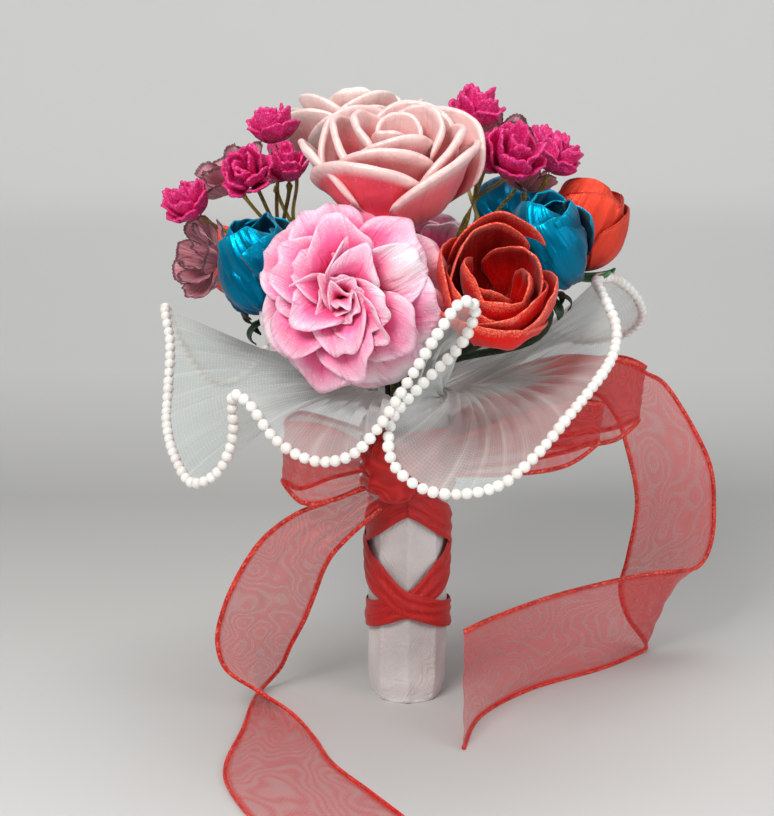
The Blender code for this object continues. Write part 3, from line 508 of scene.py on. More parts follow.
@dataclass(frozen=True)
class GlitterFinish:
    """Soft craft foam thick with glitter, with painted shade toward each petal's foot and its glitter painted
    bright as glints.
    """

    name: str
    depth_shade: Colour
    body: Colour
    spark: Colour

    def build(self) -> bpy.types.Material:
        """The finish as a material."""
        skin = Surface(self.name, 0.5, Coat_Weight=0.15, Coat_Roughness=0.2)
        up = skin.cloth.parts()[1]
        grains, glint = skin.effect(Effect.GLITTER, Cells=2100.0, Share=0.45)
        lumps, tone = skin.effect(Effect.CRINKLE, Creases=700.0, Waver=0.4)
        # Darker toward the foot as painted shade.
        base = (up + tone * 0.2).colours((0.15, self.depth_shade), (0.75, self.body), (1.0, self.body))
        # Glitter specks painted bright as glints.
        lit = grains * glint
        skin.feed("Base Color", (lit * 0.75).mix(base, self.spark))
        skin.feed("Metallic", lit * 0.35)
        skin.feed("Roughness", lit.ramp(0.0, 1.0, 0.62, 0.28))
        skin.bump(glint + lumps, 0.8, 0.0004)
        return skin.material


@dataclass(frozen=True)
class PinkedFinish:
    """Crinkled organza petals with a dark, cut rim, painted shade toward the foot and a painted radial
    shimmer.
    """

    name: str
    depth_shade: Colour
    body: Colour
    shimmer: Colour
    edge: Colour

    def build(self) -> bpy.types.Material:
        """The finish as a material."""
        skin = Surface(self.name, 0.45, Sheen_Weight=0.4, Sheen_Roughness=0.3)
        up = skin.cloth.parts()[1]
        streaks = skin.streaks(26.0, 1.6, 2.0)
        # Darker toward the foot as painted shade.
        body = up.colours((0.1, self.depth_shade), (0.6, self.body), (0.9, self.body))
        toned = (streaks.ramp(0.48, 0.68) * 0.7).mix(body, self.shimmer)
        cut = (up + streaks * 0.05).ramp(0.93, 0.985)
        skin.feed("Base Color", (cut * 0.85).mix(toned, self.edge))
        grains = skin.effect(Effect.GLITTER, Cells=2400.0, Share=0.12)[0]
        skin.feed("Roughness", grains.ramp(0.0, 1.0, 0.5, 0.25))
        skin.bump(streaks, 0.9, 0.0008)
        return skin.material


@dataclass(frozen=True)
class SpeckledFinish:
    """A plain body with a slow change of tone and fine specks painted bright as glints: stems, leaves, cord
    and hems.
    """

    name: str
    dark: Colour
    light: Colour
    spark: Colour
    gloss: float = 0.5
    share: float = 0.12
    creases: float = 500.0

    def build(self) -> bpy.types.Material:
        """The finish as a material."""
        skin = Surface(self.name, self.gloss)
        folds, tone = skin.effect(Effect.CRINKLE, Creases=self.creases, Waver=0.8)
        grains, glint = skin.effect(Effect.GLITTER, Cells=2200.0, Share=self.share)
        lit = grains * glint
        # Specks painted in the bright colour as glints.
        skin.feed("Base Color", lit.mix(tone.ramp(0.3, 0.7).mix(self.dark, self.light), self.spark))
        skin.feed("Roughness", lit.ramp(0.0, 1.0, self.gloss, self.gloss * 0.6))
        skin.bump(folds, 0.6, 0.0003)
        return skin.material


@dataclass(frozen=True)
class PearlFinish:
    """Faux pearl: white with a warm cast in places and a soft gloss."""

    name: str
    body: Colour
    cast: Colour

    def build(self) -> bpy.types.Material:
        """The finish as a material."""
        skin = Surface(self.name, 0.22, Coat_Weight=0.5, Coat_Roughness=0.12, Sheen_Weight=0.2)
        ripple, tone = skin.effect(Effect.CRINKLE, Creases=420.0, Waver=0.4)
        skin.feed("Base Color", tone.ramp(0.35, 0.7, 0.0, 0.45).mix(self.body, self.cast))
        skin.feed("Roughness", tone.ramp(0.3, 0.7, 0.18, 0.32))
        skin.bump(ripple, 0.3, 0.0002)
        return skin.material


@dataclass(frozen=True)
class PaddedClothFinish:
    """White matt cloth over a padded handle, with its weave and its wrinkles."""

    name: str
    shade: Colour
    light: Colour
    width: float = 116.0
    length: float = 96.0

    def build(self) -> bpy.types.Material:
        """The finish as a material."""
        skin = Surface(self.name, 0.85, Sheen_Weight=0.35)
        threads = skin.effect(Effect.WEAVE, skin.stretched(self.length, self.width), Threads=1.4)[0]
        folds, tone = skin.effect(Effect.CRINKLE, Creases=140.0, Waver=1.4)
        skin.feed("Base Color", tone.ramp(0.3, 0.7).mix(self.shade, self.light))
        skin.feed("Roughness", threads.ramp(0.0, 1.0, 0.92, 0.78))
        skin.bump(threads * 0.25 + folds, 0.6, 0.0007)
        return skin.material


# Each satin's colours: painted shade deep in the flower, its cloth, its rims (a painted highlight, or a dark
# edge line on the coral), its flush, and its painted highlights on patches and glints.
BLUSH_SATIN = SatinFinish(
    "blush_satin", rgb(160, 52, 58), rgb(222, 140, 142), rgb(248, 212, 208), rgb(255, 86, 106),
    rgb(255, 246, 240), gloss=0.40, lustre=0.15, rim_start=0.86, gathers=0.0008, creases=0.14,
    depth=0.72,
)
BLUSH_PALE_SATIN = SatinFinish(
    "blush_pale_satin", rgb(172, 84, 86), rgb(224, 156, 154), rgb(250, 222, 216), rgb(214, 120, 124),
    rgb(255, 244, 238), gloss=0.40, lustre=0.15, patch_highlight=0.3, gathers=0.0008, depth=0.7,
)
CARNATION_SATIN = SatinFinish(
    "carnation_satin", rgb(232, 18, 96), rgb(255, 116, 168), rgb(255, 204, 226), rgb(246, 70, 134),
    rgb(255, 246, 251), speckle=0.12, gloss=0.42, lustre=0.05, rim_start=0.86, rim_blend=0.10, patch_highlight=0.9,
    gathers=0.0012, creases=0.5, depth=0.76,
)
RED_SATIN = SatinFinish(
    "red_satin", rgb(92, 0, 3), rgb(228, 12, 8), rgb(242, 70, 50), rgb(255, 26, 14),
    rgb(255, 206, 180), speckle=0.5, rim_start=0.955, rim_blend=0.025, gathers=0.0009, creases=0.2,
    depth=0.52,
)
TEAL_SATIN = SatinFinish(
    "teal_satin", rgb(0, 30, 60), rgb(0, 112, 146), rgb(0, 150, 186), rgb(0, 64, 102),
    rgb(120, 236, 250), speckle=0.02, gloss=0.30, rim_start=0.94, lustre=0.45, gathers=0.0006, creases=0.2,
)
CORAL_SATIN = SatinFinish(
    "coral_satin", rgb(160, 20, 16), rgb(240, 84, 64), rgb(150, 22, 18), rgb(216, 50, 40),
    rgb(255, 170, 145), rim_start=0.975, rim_blend=0.02,
)
# The foam's and the organza's first colour is painted shade toward each flower's foot; the foam's last colour
# is its painted glints.
MAGENTA_FOAM = GlitterFinish("magenta_foam", rgb(120, 0, 56), rgb(226, 16, 112), rgb(255, 110, 196))
MAUVE_ORGANZA = PinkedFinish(
    "mauve_organza", rgb(112, 48, 64), rgb(200, 124, 138), rgb(240, 188, 196), rgb(76, 22, 40),
)
STEM_GREEN = SpeckledFinish("stem_green", rgb(10, 20, 12), rgb(34, 58, 34), rgb(60, 90, 60), 0.45)
LEAF_SATIN = SpeckledFinish("leaf_satin", rgb(12, 78, 40), rgb(44, 150, 78), rgb(120, 210, 140), 0.32)
OLIVE_WIRE = SpeckledFinish("olive_wire", rgb(96, 88, 26), rgb(168, 156, 62), rgb(205, 195, 110), 0.4)
HEM_RED = SpeckledFinish(
    "ribbon_hem_red", rgb(176, 14, 12), rgb(222, 34, 26), rgb(255, 120, 96), 0.38, 0.35, 900.0,
)
PEARL = PearlFinish("faux_pearl", rgb(250, 249, 245), rgb(222, 208, 196))
CORD_WHITE = SpeckledFinish("pearl_cord", rgb(226, 226, 222), rgb(248, 248, 244), rgb(255, 255, 255), 0.6)
HANDLE_CLOTH = PaddedClothFinish("handle_cloth", rgb(190, 183, 182), rgb(225, 219, 217))


# Meshes


def mesh_of(work: bmesh.types.BMesh, name: str, material: bpy.types.Material) -> bpy.types.Mesh:
    """The mesh of finished work, smooth and in its material."""
    for face in work.faces:
        face.smooth = True
    mesh = bpy.data.meshes.new(name)
    work.to_mesh(mesh)
    work.free()
    mesh.materials.append(material)
    return mesh


class ClothMesh:
    """The sheets and tubes of one piece, gathered in one mesh."""

    def __init__(self) -> None:
        """Starts with nothing in it."""
        self.work = bmesh.new()
        self.work.loops.layers.uv.new("cloth")
        self.shade = self.work.verts.layers.float.new("shade")
        self.rim = self.work.verts.layers.float.new("rim")

    def sheet(
        self, columns: int, rows: int, form: Form, shade: float | Tone = 0.5, rise: Tone | None = None,
    ) -> None:
        """Adds a grid and bends it.

        Args:
            columns: steps along the first direction.
            rows: steps along the second direction.
            form: the place of each point, for shares of the way from 0 to 1.
            shade: the tone that its points hold, or how it changes.
            rise: how near the rim each point is.
        """
        made = bmesh.ops.create_grid(
            self.work, x_segments=columns, y_segments=rows, size=1.0, calc_uvs=True
        )["verts"]
        for vert in made:
            s, t = (vert.co.x + 1) / 2, (vert.co.y + 1) / 2
            vert.co = form(s, t)
            vert[self.shade] = shade(s, t) if callable(shade) else shade
            vert[self.rim] = rise(s, t) if rise else t

    def tube(
        self, path: Sequence[Vector], radius: Callable[[float], float], sides: int, flat: float = 1.0,
        level: Vector | None = None,
    ) -> None:
        """Adds a closed round or flattened tube along a path.

        Args:
            path: the points along its middle.
            radius: its radius at a share of the way along.
            sides: steps round it.
            flat: how high it is for its width.
            level: a direction across it, where its flat side matters.
        """
        count = len(path) - 1
        frames = []
        across = level or Vector((0.3, 0.5, 0.81))
        for index, point in enumerate(path):
            along = (path[min(count, index + 1)] - path[max(0, index - 1)]).normalized()
            across = (across - along * across.dot(along)).normalized()
            frames.append((point, across.copy(), along.cross(across)))

        def form(s: float, t: float) -> Vector:
            """A point of the tube's skin."""
            index = round(s * count)
            middle, side, upward = frames[index]
            end = 0.0 if index in (0, count) else 1.0
            turn = -2 * math.pi * t
            ring = side * math.cos(turn) + upward * (flat * math.sin(turn))
            return middle + ring * (radius(s) * end)

        self.sheet(count, sides, form)

    def settled(self) -> None:
        """Joins the points that meet, closes poles and turns the faces outwards."""
        bmesh.ops.remove_doubles(self.work, verts=self.work.verts, dist=0.0004)
        bmesh.ops.dissolve_degenerate(self.work, edges=self.work.edges, dist=0.0002)
        bmesh.ops.recalc_face_normals(self.work, faces=self.work.faces)

    def piece(
        self, name: str, material: bpy.types.Material, nodes: Sequence[str], slot: str,
        matrix: Matrix | None = None, thickness: float = 0.0,
    ) -> bpy.types.Object:
        """Makes the mesh a piece of the bouquet.

        Args:
            name: the piece's name.
            material: its finish.
            nodes: the CAD nodes that it stands for.
            slot: the record's material slot; not used.
            matrix: its placement, in metres.
            thickness: the cloth's thickness in millimetres, or 0 for a bare sheet.

        Returns:
            The new object.
        """
        scale = Matrix.Scale(MM, 4)
        bmesh.ops.transform(self.work, matrix=(matrix or Matrix()) @ scale, verts=self.work.verts)
        mesh = mesh_of(self.work, name, material)
        thing = add_object(name, mesh)
        if thickness > 0:
            solid = thing.modifiers.new("thickness", "SOLIDIFY")
            solid.thickness = thickness * MM
            solid.offset = 0.0
        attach(thing, BODY)
        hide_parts(*nodes)
        log.info("%s: %d faces, for %s", name, len(mesh.polygons), ", ".join(nodes))
        return thing


# Petals


# The share of the way over a doubled petal where its rim starts to turn, and the step of its slopes
CAP = 0.78
STEP = 0.02


@dataclass(frozen=True)
class SatinPetal:
    """A cupped petal of doubled satin: an inner and an outer layer that meet in a soft folded rim."""

    heading: float
    width: float
    rim_radius: float
    rim_height: float
    foot_radius: float = 3.0
    foot_height: float = 3.0
    flare: float = 0.0
    droop: float = 0.0
    lean: float = 1.5
    closing: float = 0.0
    swirl: float = 0.0
    sag: float = 0.3
    point: float = 2.2
    tilt: float = 0.0
    puff: float = 0.7
    body: float = 0.22
    curl: float = 1.2
    crinkle: float = 0.7
    gathers: float = 0.5
    folds: float = 2.6
    columns: int = 36
    rows: int = 40
    seed: float = 0.0

    def middle(self, side: float, reach: float) -> Vector:
        """A point midway between the layers, in the flower's own frame."""
        bend = min(reach, 1.05) * math.pi / 2
        radius = self.foot_radius + (self.rim_radius - self.foot_radius) * math.sin(bend)
        radius += (self.flare - self.closing) * reach**4 + self.lean * side * reach
        height = self.foot_height + (self.rim_height - self.foot_height) * (1 - math.cos(bend))
        height += self.tilt * side * reach**2 - self.droop * reach**6
        near = reach / self.top(side)
        radius += self.curl * smooth_step((near - 0.72) / 0.28) ** 2
        spread = 0.30 + 0.70 * min(1.0, reach * 1.8)
        turn = math.radians(self.heading + side * self.width / 2 * spread + self.swirl * reach**2)
        place = Vector((side * 1.7 + self.seed, reach * 1.9, self.seed * 0.37))
        wave = noise.noise(place) * 1.5 + noise.noise(place * 2.6) * 0.55
        radius += self.crinkle * wave * smooth_step(reach * 1.6)
        height += 0.7 * self.crinkle * noise.noise(place * 1.4 + Vector((9, 4, 2))) * reach**3
        line = noise.noise(Vector((side * self.folds + self.seed * 2.3, reach * 0.9, self.seed)))
        pull = (0.5 - min(0.5, 3.2 * abs(line))) * 2
        radius += self.gathers * pull * smooth_step(reach * 2) * (1 - 0.8 * smooth_step((near - 0.6) / 0.4))
        return around(radius, turn, height)

    def top(self, side: float) -> float:
        """How far up the petal reaches on one side."""
        return 1 - self.sag * abs(side) ** self.point

    def form(self, s: float, t: float) -> Vector:
        """A point of the petal: up the inner layer, over the rim and down the outer one."""
        side = 2 * s - 1
        layer = 1.0 if t > 0.5 else -1.0
        climb = 1 - abs(2 * t - 1)
        reach = self.top(side) * min(1.0, climb / CAP) ** 0.92
        here = self.middle(side, reach)
        beside = self.middle(side + STEP, reach) - self.middle(side - STEP, reach)
        ahead = here - self.middle(side, reach - STEP)
        outward = beside.cross(ahead)
        outward = outward.normalized() if outward.length > 1e-9 else Vector((1, 0, 0))
        close = max(0.0, 1 - abs(side) ** 10) ** 0.5
        puff = self.puff * (1 + 0.35 * noise.noise(Vector((side * 3.1, self.seed, 5.0))))
        if climb <= CAP:
            away = (1 - climb / CAP) * (self.rim_height + self.rim_radius) * 0.55
            half = self.body + (puff - self.body) * math.exp(-((away / 2.1) ** 2))
            half *= smooth_step(climb / 0.06)
            return here + outward * (half * layer * close)
        turn = (climb - CAP) / (1 - CAP) * math.pi / 2
        after, before = side + STEP, side - STEP
        edge = self.middle(after, self.top(after)) - self.middle(before, self.top(before))
        rimward = outward.cross(edge)
        if rimward.dot(ahead) < 0:
            rimward = -rimward
        rimward = rimward.normalized() if rimward.length > 1e-9 else Vector((0, 0, 1))
        return here + (outward * (layer * math.cos(turn)) + rimward * math.sin(turn)) * (puff * close)

    @staticmethod
    def rise(s: float, t: float) -> float:
        """How near the rim a point is, from the foot (0) to the rim (1)."""
        return min(1.0, (1 - abs(2 * t - 1)) / CAP)


@dataclass(frozen=True)
class CutPetal:
    """A small cupped petal of one layer, with a cut rim."""

    heading: float
    width: float
    rim_radius: float
    rim_height: float
    foot_radius: float = 1.5
    foot_height: float = 0.5
    flare: float = 0.0
    droop: float = 0.0
    lean: float = 1.0
    sag: float = 0.3
    tilt: float = 0.0
    crinkle: float = 0.4
    teeth: int = 10
    tooth: float = 0.05
    pleats: float = 0.0
    columns: int = 30
    rows: int = 13
    seed: float = 0.0

    def form(self, s: float, t: float) -> Vector:
        """A point of the petal, in the flower's own frame."""
        side = 2 * s - 1
        top = 1 - self.sag * abs(side) ** 2.6
        cut = abs(2 * ((side + 1) / 2 * self.teeth % 1.0) - 1)
        reach = t * (top - self.tooth * cut * smooth_step((t - 0.8) / 0.2))
        bend = min(reach, 1.08) * math.pi / 2
        radius = self.foot_radius + (self.rim_radius - self.foot_radius) * math.sin(bend)
        radius += self.flare * reach**4 + self.lean * side * reach
        height = self.foot_height + (self.rim_height - self.foot_height) * (1 - math.cos(bend))
        height += self.tilt * side * reach**2 - self.droop * reach**5
        place = Vector((side * 2.2 + self.seed, reach * 2.6, self.seed * 0.37))
        wave = noise.noise(place) * 1.6 + noise.noise(place * 2.7) * 0.6
        radius += self.crinkle * wave * reach * 1.6
        radius += self.pleats * math.sin(side * 15 + self.seed + 1.2 * wave) * reach**1.5
        height += 0.8 * self.crinkle * noise.noise(place * 1.7 + Vector((3, 8, 1))) * reach
        turn = math.radians(self.heading + side * self.width / 2 * (0.4 + 0.6 * reach))
        return around(radius, turn, height)

    @staticmethod
    def rise(s: float, t: float) -> float:
        """How near the rim a point is."""
        return t


@dataclass(frozen=True)
class FrilledPetal:
    """A carnation petal: narrow at its root, broad, round and waved at its rim."""

    heading: float
    elevation: float
    length: float
    width: float
    start: float = 2.0
    height: float = 6.0
    twist: float = 15.0
    wave: float = 1.6
    cup: float = 0.16
    curl: float = 0.14
    frill: float = 0.5
    columns: int = 30
    rows: int = 26
    seed: float = 0.0

    def form(self, s: float, t: float) -> Vector:
        """A point of the petal, in the flower's own frame."""
        heading, elevation = math.radians(self.heading), math.radians(self.elevation)
        twist = math.radians(self.twist)
        out, across = around(1, heading), around(1, heading + math.pi / 2)
        upward = Vector((0, 0, 1))
        along = out * math.cos(elevation) + upward * math.sin(elevation)
        lift = upward * math.cos(elevation) - out * math.sin(elevation)
        across_turned = across * math.cos(twist) + lift * math.sin(twist)
        lift_turned = lift * math.cos(twist) - across * math.sin(twist)
        side = 2 * s - 1
        edge = 0.56 + 0.44 * math.sqrt(max(0.0, 1 - side**2))
        edge += 0.05 * noise.noise(Vector((side * 2.3, self.seed, 3.1)))
        reach = t * edge
        half = self.width / 2 * (0.24 + 0.76 * math.sin(min(1.0, reach * 1.12) * math.pi / 2))
        rise = self.wave * math.sin(math.pi * (1.5 * side + 0.3) + self.seed) * reach**2
        rise += self.cup * self.width * (side**2 - 0.35) * reach
        rise -= self.curl * self.length * max(0.0, reach - 0.45) ** 2 * 3.2
        rim = smooth_step((t - 0.82) / 0.18)
        rise += self.frill * math.sin(side * 8.5 + self.seed * 2) * rim - 1.2 * rim**2
        place = Vector((side * 1.6 + self.seed, reach * 2.2, self.seed * 0.7))
        rise += 1.3 * noise.noise(place) * reach + 0.2 * noise.noise(place * 3.1) * reach
        base = out * self.start + upward * self.height
        return base + along * (self.length * reach) + across_turned * (half * side) + lift_turned * rise

    @staticmethod
    def rise(s: float, t: float) -> float:
        """How near the rim a point is, the side rims too."""
        return max(t, smooth_step((abs(2 * s - 1) - 0.72) / 0.28) * min(1.0, t * 1.3))


Petal = SatinPetal | CutPetal | FrilledPetal


def ring_of(count: int, petal: Petal, turn: float, rng: random.Random, jitter: float = 1.0) -> list[Petal]:
    """Petals like one another, evenly round a flower, each a little its own.

    Args:
        count: the number of petals.
        petal: the one that they are like.
        turn: the heading of the first.
        rng: where the small differences come from.
        jitter: how large those are.

    Returns:
        The petals.
    """
    petals = []
    for index in range(count):
        changes = {
            "heading": turn + 360 * index / count + jitter * rng.uniform(-6, 6),
            "width": petal.width * (1 + jitter * rng.uniform(-0.06, 0.06)),
            "seed": rng.uniform(0, 40),
        }
        if isinstance(petal, FrilledPetal):
            changes["elevation"] = petal.elevation + jitter * rng.uniform(-6, 6)
            changes["twist"] = petal.twist + jitter * rng.uniform(-10, 10)
            changes["cup"] = petal.cup + jitter * rng.uniform(-0.10, 0.12)
            changes["wave"] = petal.wave * (1 + jitter * rng.uniform(-0.4, 0.5))
        else:
            changes["rim_height"] = petal.rim_height + jitter * rng.uniform(-0.9, 0.9)
            changes["rim_radius"] = petal.rim_radius + jitter * rng.uniform(-0.6, 0.6)
            changes["tilt"] = petal.tilt + jitter * rng.uniform(-1.0, 1.0)
        petals.append(replace(petal, **changes))
    return petals


def each_at(petal: Petal, *places: Sequence[float]) -> list[Petal]:
    """The same petal at several headings, with widths, rim radii and rim heights of their own.

    Args:
        petal: the one that they are like.
        places: for each, its heading, width, rim radius and rim height.

    Returns:
        The petals.
    """
    return [
        replace(petal, heading=heading, width=width, rim_radius=radius, rim_height=height,
                seed=petal.seed + 3.7 * index)
        for index, (heading, width, radius, height) in enumerate(places)
    ]


# Flowers


HEIGHTS = {
    "rose_blush_front": 40.0, "rose_blush_back": 34.0, "rose_red": 36.0, "carnation": 24.0, "bud": 37.0,
    "mauve": 14.0, "foam_rose": 14.5,
}


@dataclass(frozen=True)
class Placing:
    """Where a flower stands: its node, its middle, the way it opens, its turn, its scale and its calyx."""

    node: str
    middle: Triple
    axis: Triple
    spin: float = 0.0
    scale: float = 1.0
    calyx: float = 10.0

    def way(self) -> Vector:
        """The way that it opens."""
        return Vector(self.axis).normalized()

    def base(self) -> Vector:
        """The point where its foot sits, in millimetres."""
        height = next(height for kind, height in HEIGHTS.items() if self.node.startswith(kind))
        return Vector(self.middle) - self.way() * (height * self.scale / 2)

    def stand(self) -> Matrix:
        """The placement in metres that takes +Z to its axis and the origin to its foot."""
        turn = Vector((0, 0, 1)).rotation_difference(self.way()).to_matrix().to_4x4()
        return Matrix.Translation(self.base() * MM) @ turn @ Matrix.Rotation(math.radians(self.spin), 4, "Z")


PLACINGS = {placing.node: placing for placing in (
    Placing("rose_blush_front", (-5, -27, 204), (0.0, -0.2, 0.98), calyx=11),
    Placing("rose_blush_back", (-20, 39, 211), (-0.08, 0.16, 0.98), 20),
    Placing("carnation_front", (-22, -60, 167), (-0.15, -0.97, 0.12), 10, 1.06),
    Placing("carnation_rear", (13, 70, 155), (0.2, 0.93, 0.3), 12, 0.85, 19),
    Placing("rose_red_front", (30, -50, 167), (0.05, -0.7, 0.7), 80, 0.93, 9),
    Placing("rose_red_rear", (-34, 57, 157), (-0.4, 0.8, 0.4), 200, 0.85, 17),
    Placing("bud_teal_left", (-52, -32, 172), (-0.2, -0.12, 0.97), 30, calyx=12),
    Placing("bud_teal_right", (49, -26, 179), (-0.05, -0.18, 0.97), 112),
    Placing("bud_teal_rear", (43, 61, 177), (0.3, 0.5, 0.82), 60),
    Placing("bud_coral_right", (65, 11, 180), (0.42, 0.02, 0.9), 200, calyx=17),
    Placing("bud_coral_rear", (-66, 42, 162), (-0.5, 0.3, 0.8), 90, 0.86, 11),
)}

# Each spray's name, the fork of its wires and its flowers
SPRAYS = (
    ("left_high", (-45, -3, 176), (
        Placing("mauve_left_high", (-66.5, 5, 202), (-0.5, -0.2, 0.84), 28, 1.12),
        Placing("foam_rose_left_front", (-58, -20, 205), (-0.3, -0.75, 0.6), 0, 1.05),
        Placing("foam_rose_left_inner", (-44, -6, 206), (-0.1, -0.3, 0.95), 60, 0.9),
        Placing("foam_rose_left_top", (-50, 7, 219), (-0.2, 0.1, 0.97), 120),
    )),
    ("left_low", (-50, -2, 172), (
        Placing("mauve_left_low", (-75, -15, 173), (-0.7, -0.6, 0.3), 0, 1.05),
        Placing("foam_rose_left_outer", (-80, -12, 193.5), (-0.6, -0.3, 0.74), 30),
    )),
    ("right_high", (24, 8, 190), (
        Placing("mauve_right_high", (33, 22, 215), (0.3, 0.35, 0.9), 15, 1.1),
        Placing("foam_rose_right_top", (25, 1, 226), (0.1, -0.1, 0.99), 0, 1.05),
        Placing("foam_rose_right_front", (37, -12, 210.5), (0.15, -0.6, 0.8), 45, 1.38),
    )),
    ("right_low", (38, 8, 176), (
        Placing("mauve_right_low", (45, 22, 197.5), (0.2, 0.4, 0.88), 40, 0.75),
        Placing("foam_rose_right_outer", (55, 7, 208), (0.4, -0.1, 0.9), 90, 1.05),
    )),
    ("rear_left", (-42, 26, 176), (
        Placing("mauve_rear_left", (-53, 33, 200), (-0.3, 0.1, 0.95)),
        Placing("foam_rose_rear_left", (-47, 58, 203), (-0.35, 0.6, 0.75)),
    )),
    ("rear_right", (28, 40, 172), (
        Placing("mauve_rear_right", (26, 56, 203), (0.3, 0.5, 0.82)),
        Placing("foam_rose_rear_right", (52, 44, 208), (0.4, 0.4, 0.85)),
    )),
)


@dataclass
class Bloom:
    """A flower made of petals round a middle."""

    placing: Placing
    finish: bpy.types.Material
    slot: str
    petals: Sequence[Petal]
    thickness: float = 0.0
    # Each petal's tone; a negative one paints shade in a satin rose's hollow.
    tones: Sequence[float] = ()

    def build(self) -> None:
        """The whole flower as one piece."""
        node = self.placing.node
        rng = random.Random(node)
        cloth = ClothMesh()
        for index, petal in enumerate(self.petals):
            tone = self.tones[index] if index < len(self.tones) else rng.random() * 0.4
            cloth.sheet(petal.columns, petal.rows, petal.form, tone, petal.rise)
        if not self.thickness:
            cloth.settled()
        matrix = self.placing.stand() @ Matrix.Scale(self.placing.scale, 4)
        cloth.piece(node + "_petals", self.finish, [node], self.slot, matrix, self.thickness)


def blush_front_petals() -> list[Petal]:
    """The petals of the large blush rose, from the outside in; heading 270 faces the front."""
    outer = SatinPetal(
        0, 110, 27, 33, flare=1.6, droop=0.4, lean=-3.2, sag=0.40, puff=1.35, curl=2.0, seed=1.3,
    )
    middle = replace(outer, flare=1.2, droop=0, lean=-2.8, sag=0.32, curl=1.6, foot_height=6, seed=9.1)
    inner = replace(outer, flare=1.0, droop=0, lean=-2.2, sag=0.24, curl=1.2, foot_height=9, seed=17.4)
    heart = replace(
        outer, flare=0.4, droop=0, lean=-1.6, sag=0.2, puff=1.0, curl=0.6, foot_height=12, seed=25.2,
    )
    return [
        *each_at(
            outer, (244, 128, 25.6, 32.0), (334, 138, 26.4, 34), (50, 120, 27.5, 36.5), (122, 116, 27, 36),
                 (190, 100, 28, 32.5)),
        *each_at(middle, (262, 128, 19.6, 35.5), (350, 120, 20.2, 37.5), (72, 124, 19.6, 39.5),
                 (165, 126, 19.8, 37.5)),
        *each_at(inner, (285, 150, 12.6, 37.5), (40, 160, 13, 41), (165, 160, 12.6, 40)),
        *each_at(heart, (250, 200, 5.6, 37), (80, 200, 6.4, 39.5)),
    ]


def blush_back_petals() -> list[Petal]:
    """The petals of the paler rose behind it."""
    outer = SatinPetal(0, 124, 22, 27, flare=2.6, droop=0.8, lean=-2.6, sag=0.4, puff=1.1, curl=1.8, seed=4.2)
    middle = replace(outer, flare=1.6, droop=0, sag=0.28, foot_height=6, seed=12.8)
    heart = replace(outer, flare=0.4, droop=0, lean=-1.5, sag=0.2, curl=0.6, foot_height=10, seed=21.0)
    return [
        *each_at(outer, (262, 130, 21.5, 26), (340, 126, 22, 28.5), (55, 126, 21, 30.5), (130, 126, 21.5, 30),
                 (205, 116, 22.5, 27)),
        *each_at(middle, (290, 140, 15, 31), (50, 146, 15, 33.5), (175, 146, 15.5, 33)),
        *each_at(heart, (240, 190, 7.4, 33), (70, 200, 7.4, 35)),
    ]


def red_petals(seed: float) -> list[Petal]:
    """The petals of a red rose round a dark hollow; in front, heading 190 is its lower side."""
    outer = SatinPetal(0, 130, 21, 29, lean=-2.0, sag=0.34, puff=0.4, curl=0.3, closing=4.0, tilt=-1.5,
                       crinkle=1.0, gathers=1.0, folds=3.0, seed=seed)
    inner = replace(outer, tilt=-3.5, sag=0.28, foot_height=6, closing=4.5, seed=seed + 8)
    throat = replace(outer, tilt=-3.0, sag=0.24, foot_height=6, closing=1.0, crinkle=0.8, seed=seed + 16)
    return [
        *each_at(outer, (180, 150, 25.4, 25.5), (95, 128, 25.2, 31), (256, 124, 24, 29), (18, 120, 26, 35)),
        *each_at(inner, (144, 146, 21.4, 27.5), (234, 146, 20.6, 28), (326, 140, 17, 32),
                 (50, 150, 21.6, 35)),
        *each_at(inner, (197, 150, 16.4, 28.5), (120, 140, 15.6, 32), (276, 120, 14.2, 29.5)),
        *each_at(throat, (172, 120, 9.4, 29.5)),
    ]


def teal_petals(seed: float) -> list[Petal]:
    """The petals of a teal bud, swirled to a close round a small hollow."""
    outer = SatinPetal(
        0, 190, 19.6, 34, closing=11.0, lean=-3.0, swirl=-58, sag=0.16, point=1.6, puff=0.4, curl=0.0,
        droop=2.0, tilt=-3.0, crinkle=1.8, gathers=2.4, folds=2.2, rows=48, seed=seed,
    )
    inner = replace(outer, closing=8.5, lean=-1.8, swirl=-80, droop=0.5, foot_height=7, seed=seed + 9)
    return [
        *each_at(outer, (245, 200, 18.4, 33), (5, 200, 18.6, 34.5), (125, 200, 18.4, 35.5)),
        *each_at(inner, (200, 200, 14.6, 36), (320, 200, 14.8, 35.5), (80, 200, 14.4, 37)),
    ]


def coral_petals(seed: float) -> list[Petal]:
    """The petals of a coral bud, rounded and overlapping."""
    outer = SatinPetal(0, 160, 18.0, 33, closing=7.5, lean=-2.8, sag=0.28, point=2.4, puff=0.4, curl=0.0,
                       droop=0.6, crinkle=1.2, gathers=1.0, folds=2.0, seed=seed)
    inner = replace(outer, closing=8.0, sag=0.22, foot_height=6, seed=seed + 7)
    return [
        *each_at(outer, (256, 160, 18.8, 26), (345, 170, 18.6, 32), (80, 170, 18, 34), (165, 160, 17.8, 33)),
        *each_at(inner, (285, 180, 15.0, 35), (50, 180, 15, 37), (170, 180, 14.6, 36)),
    ]


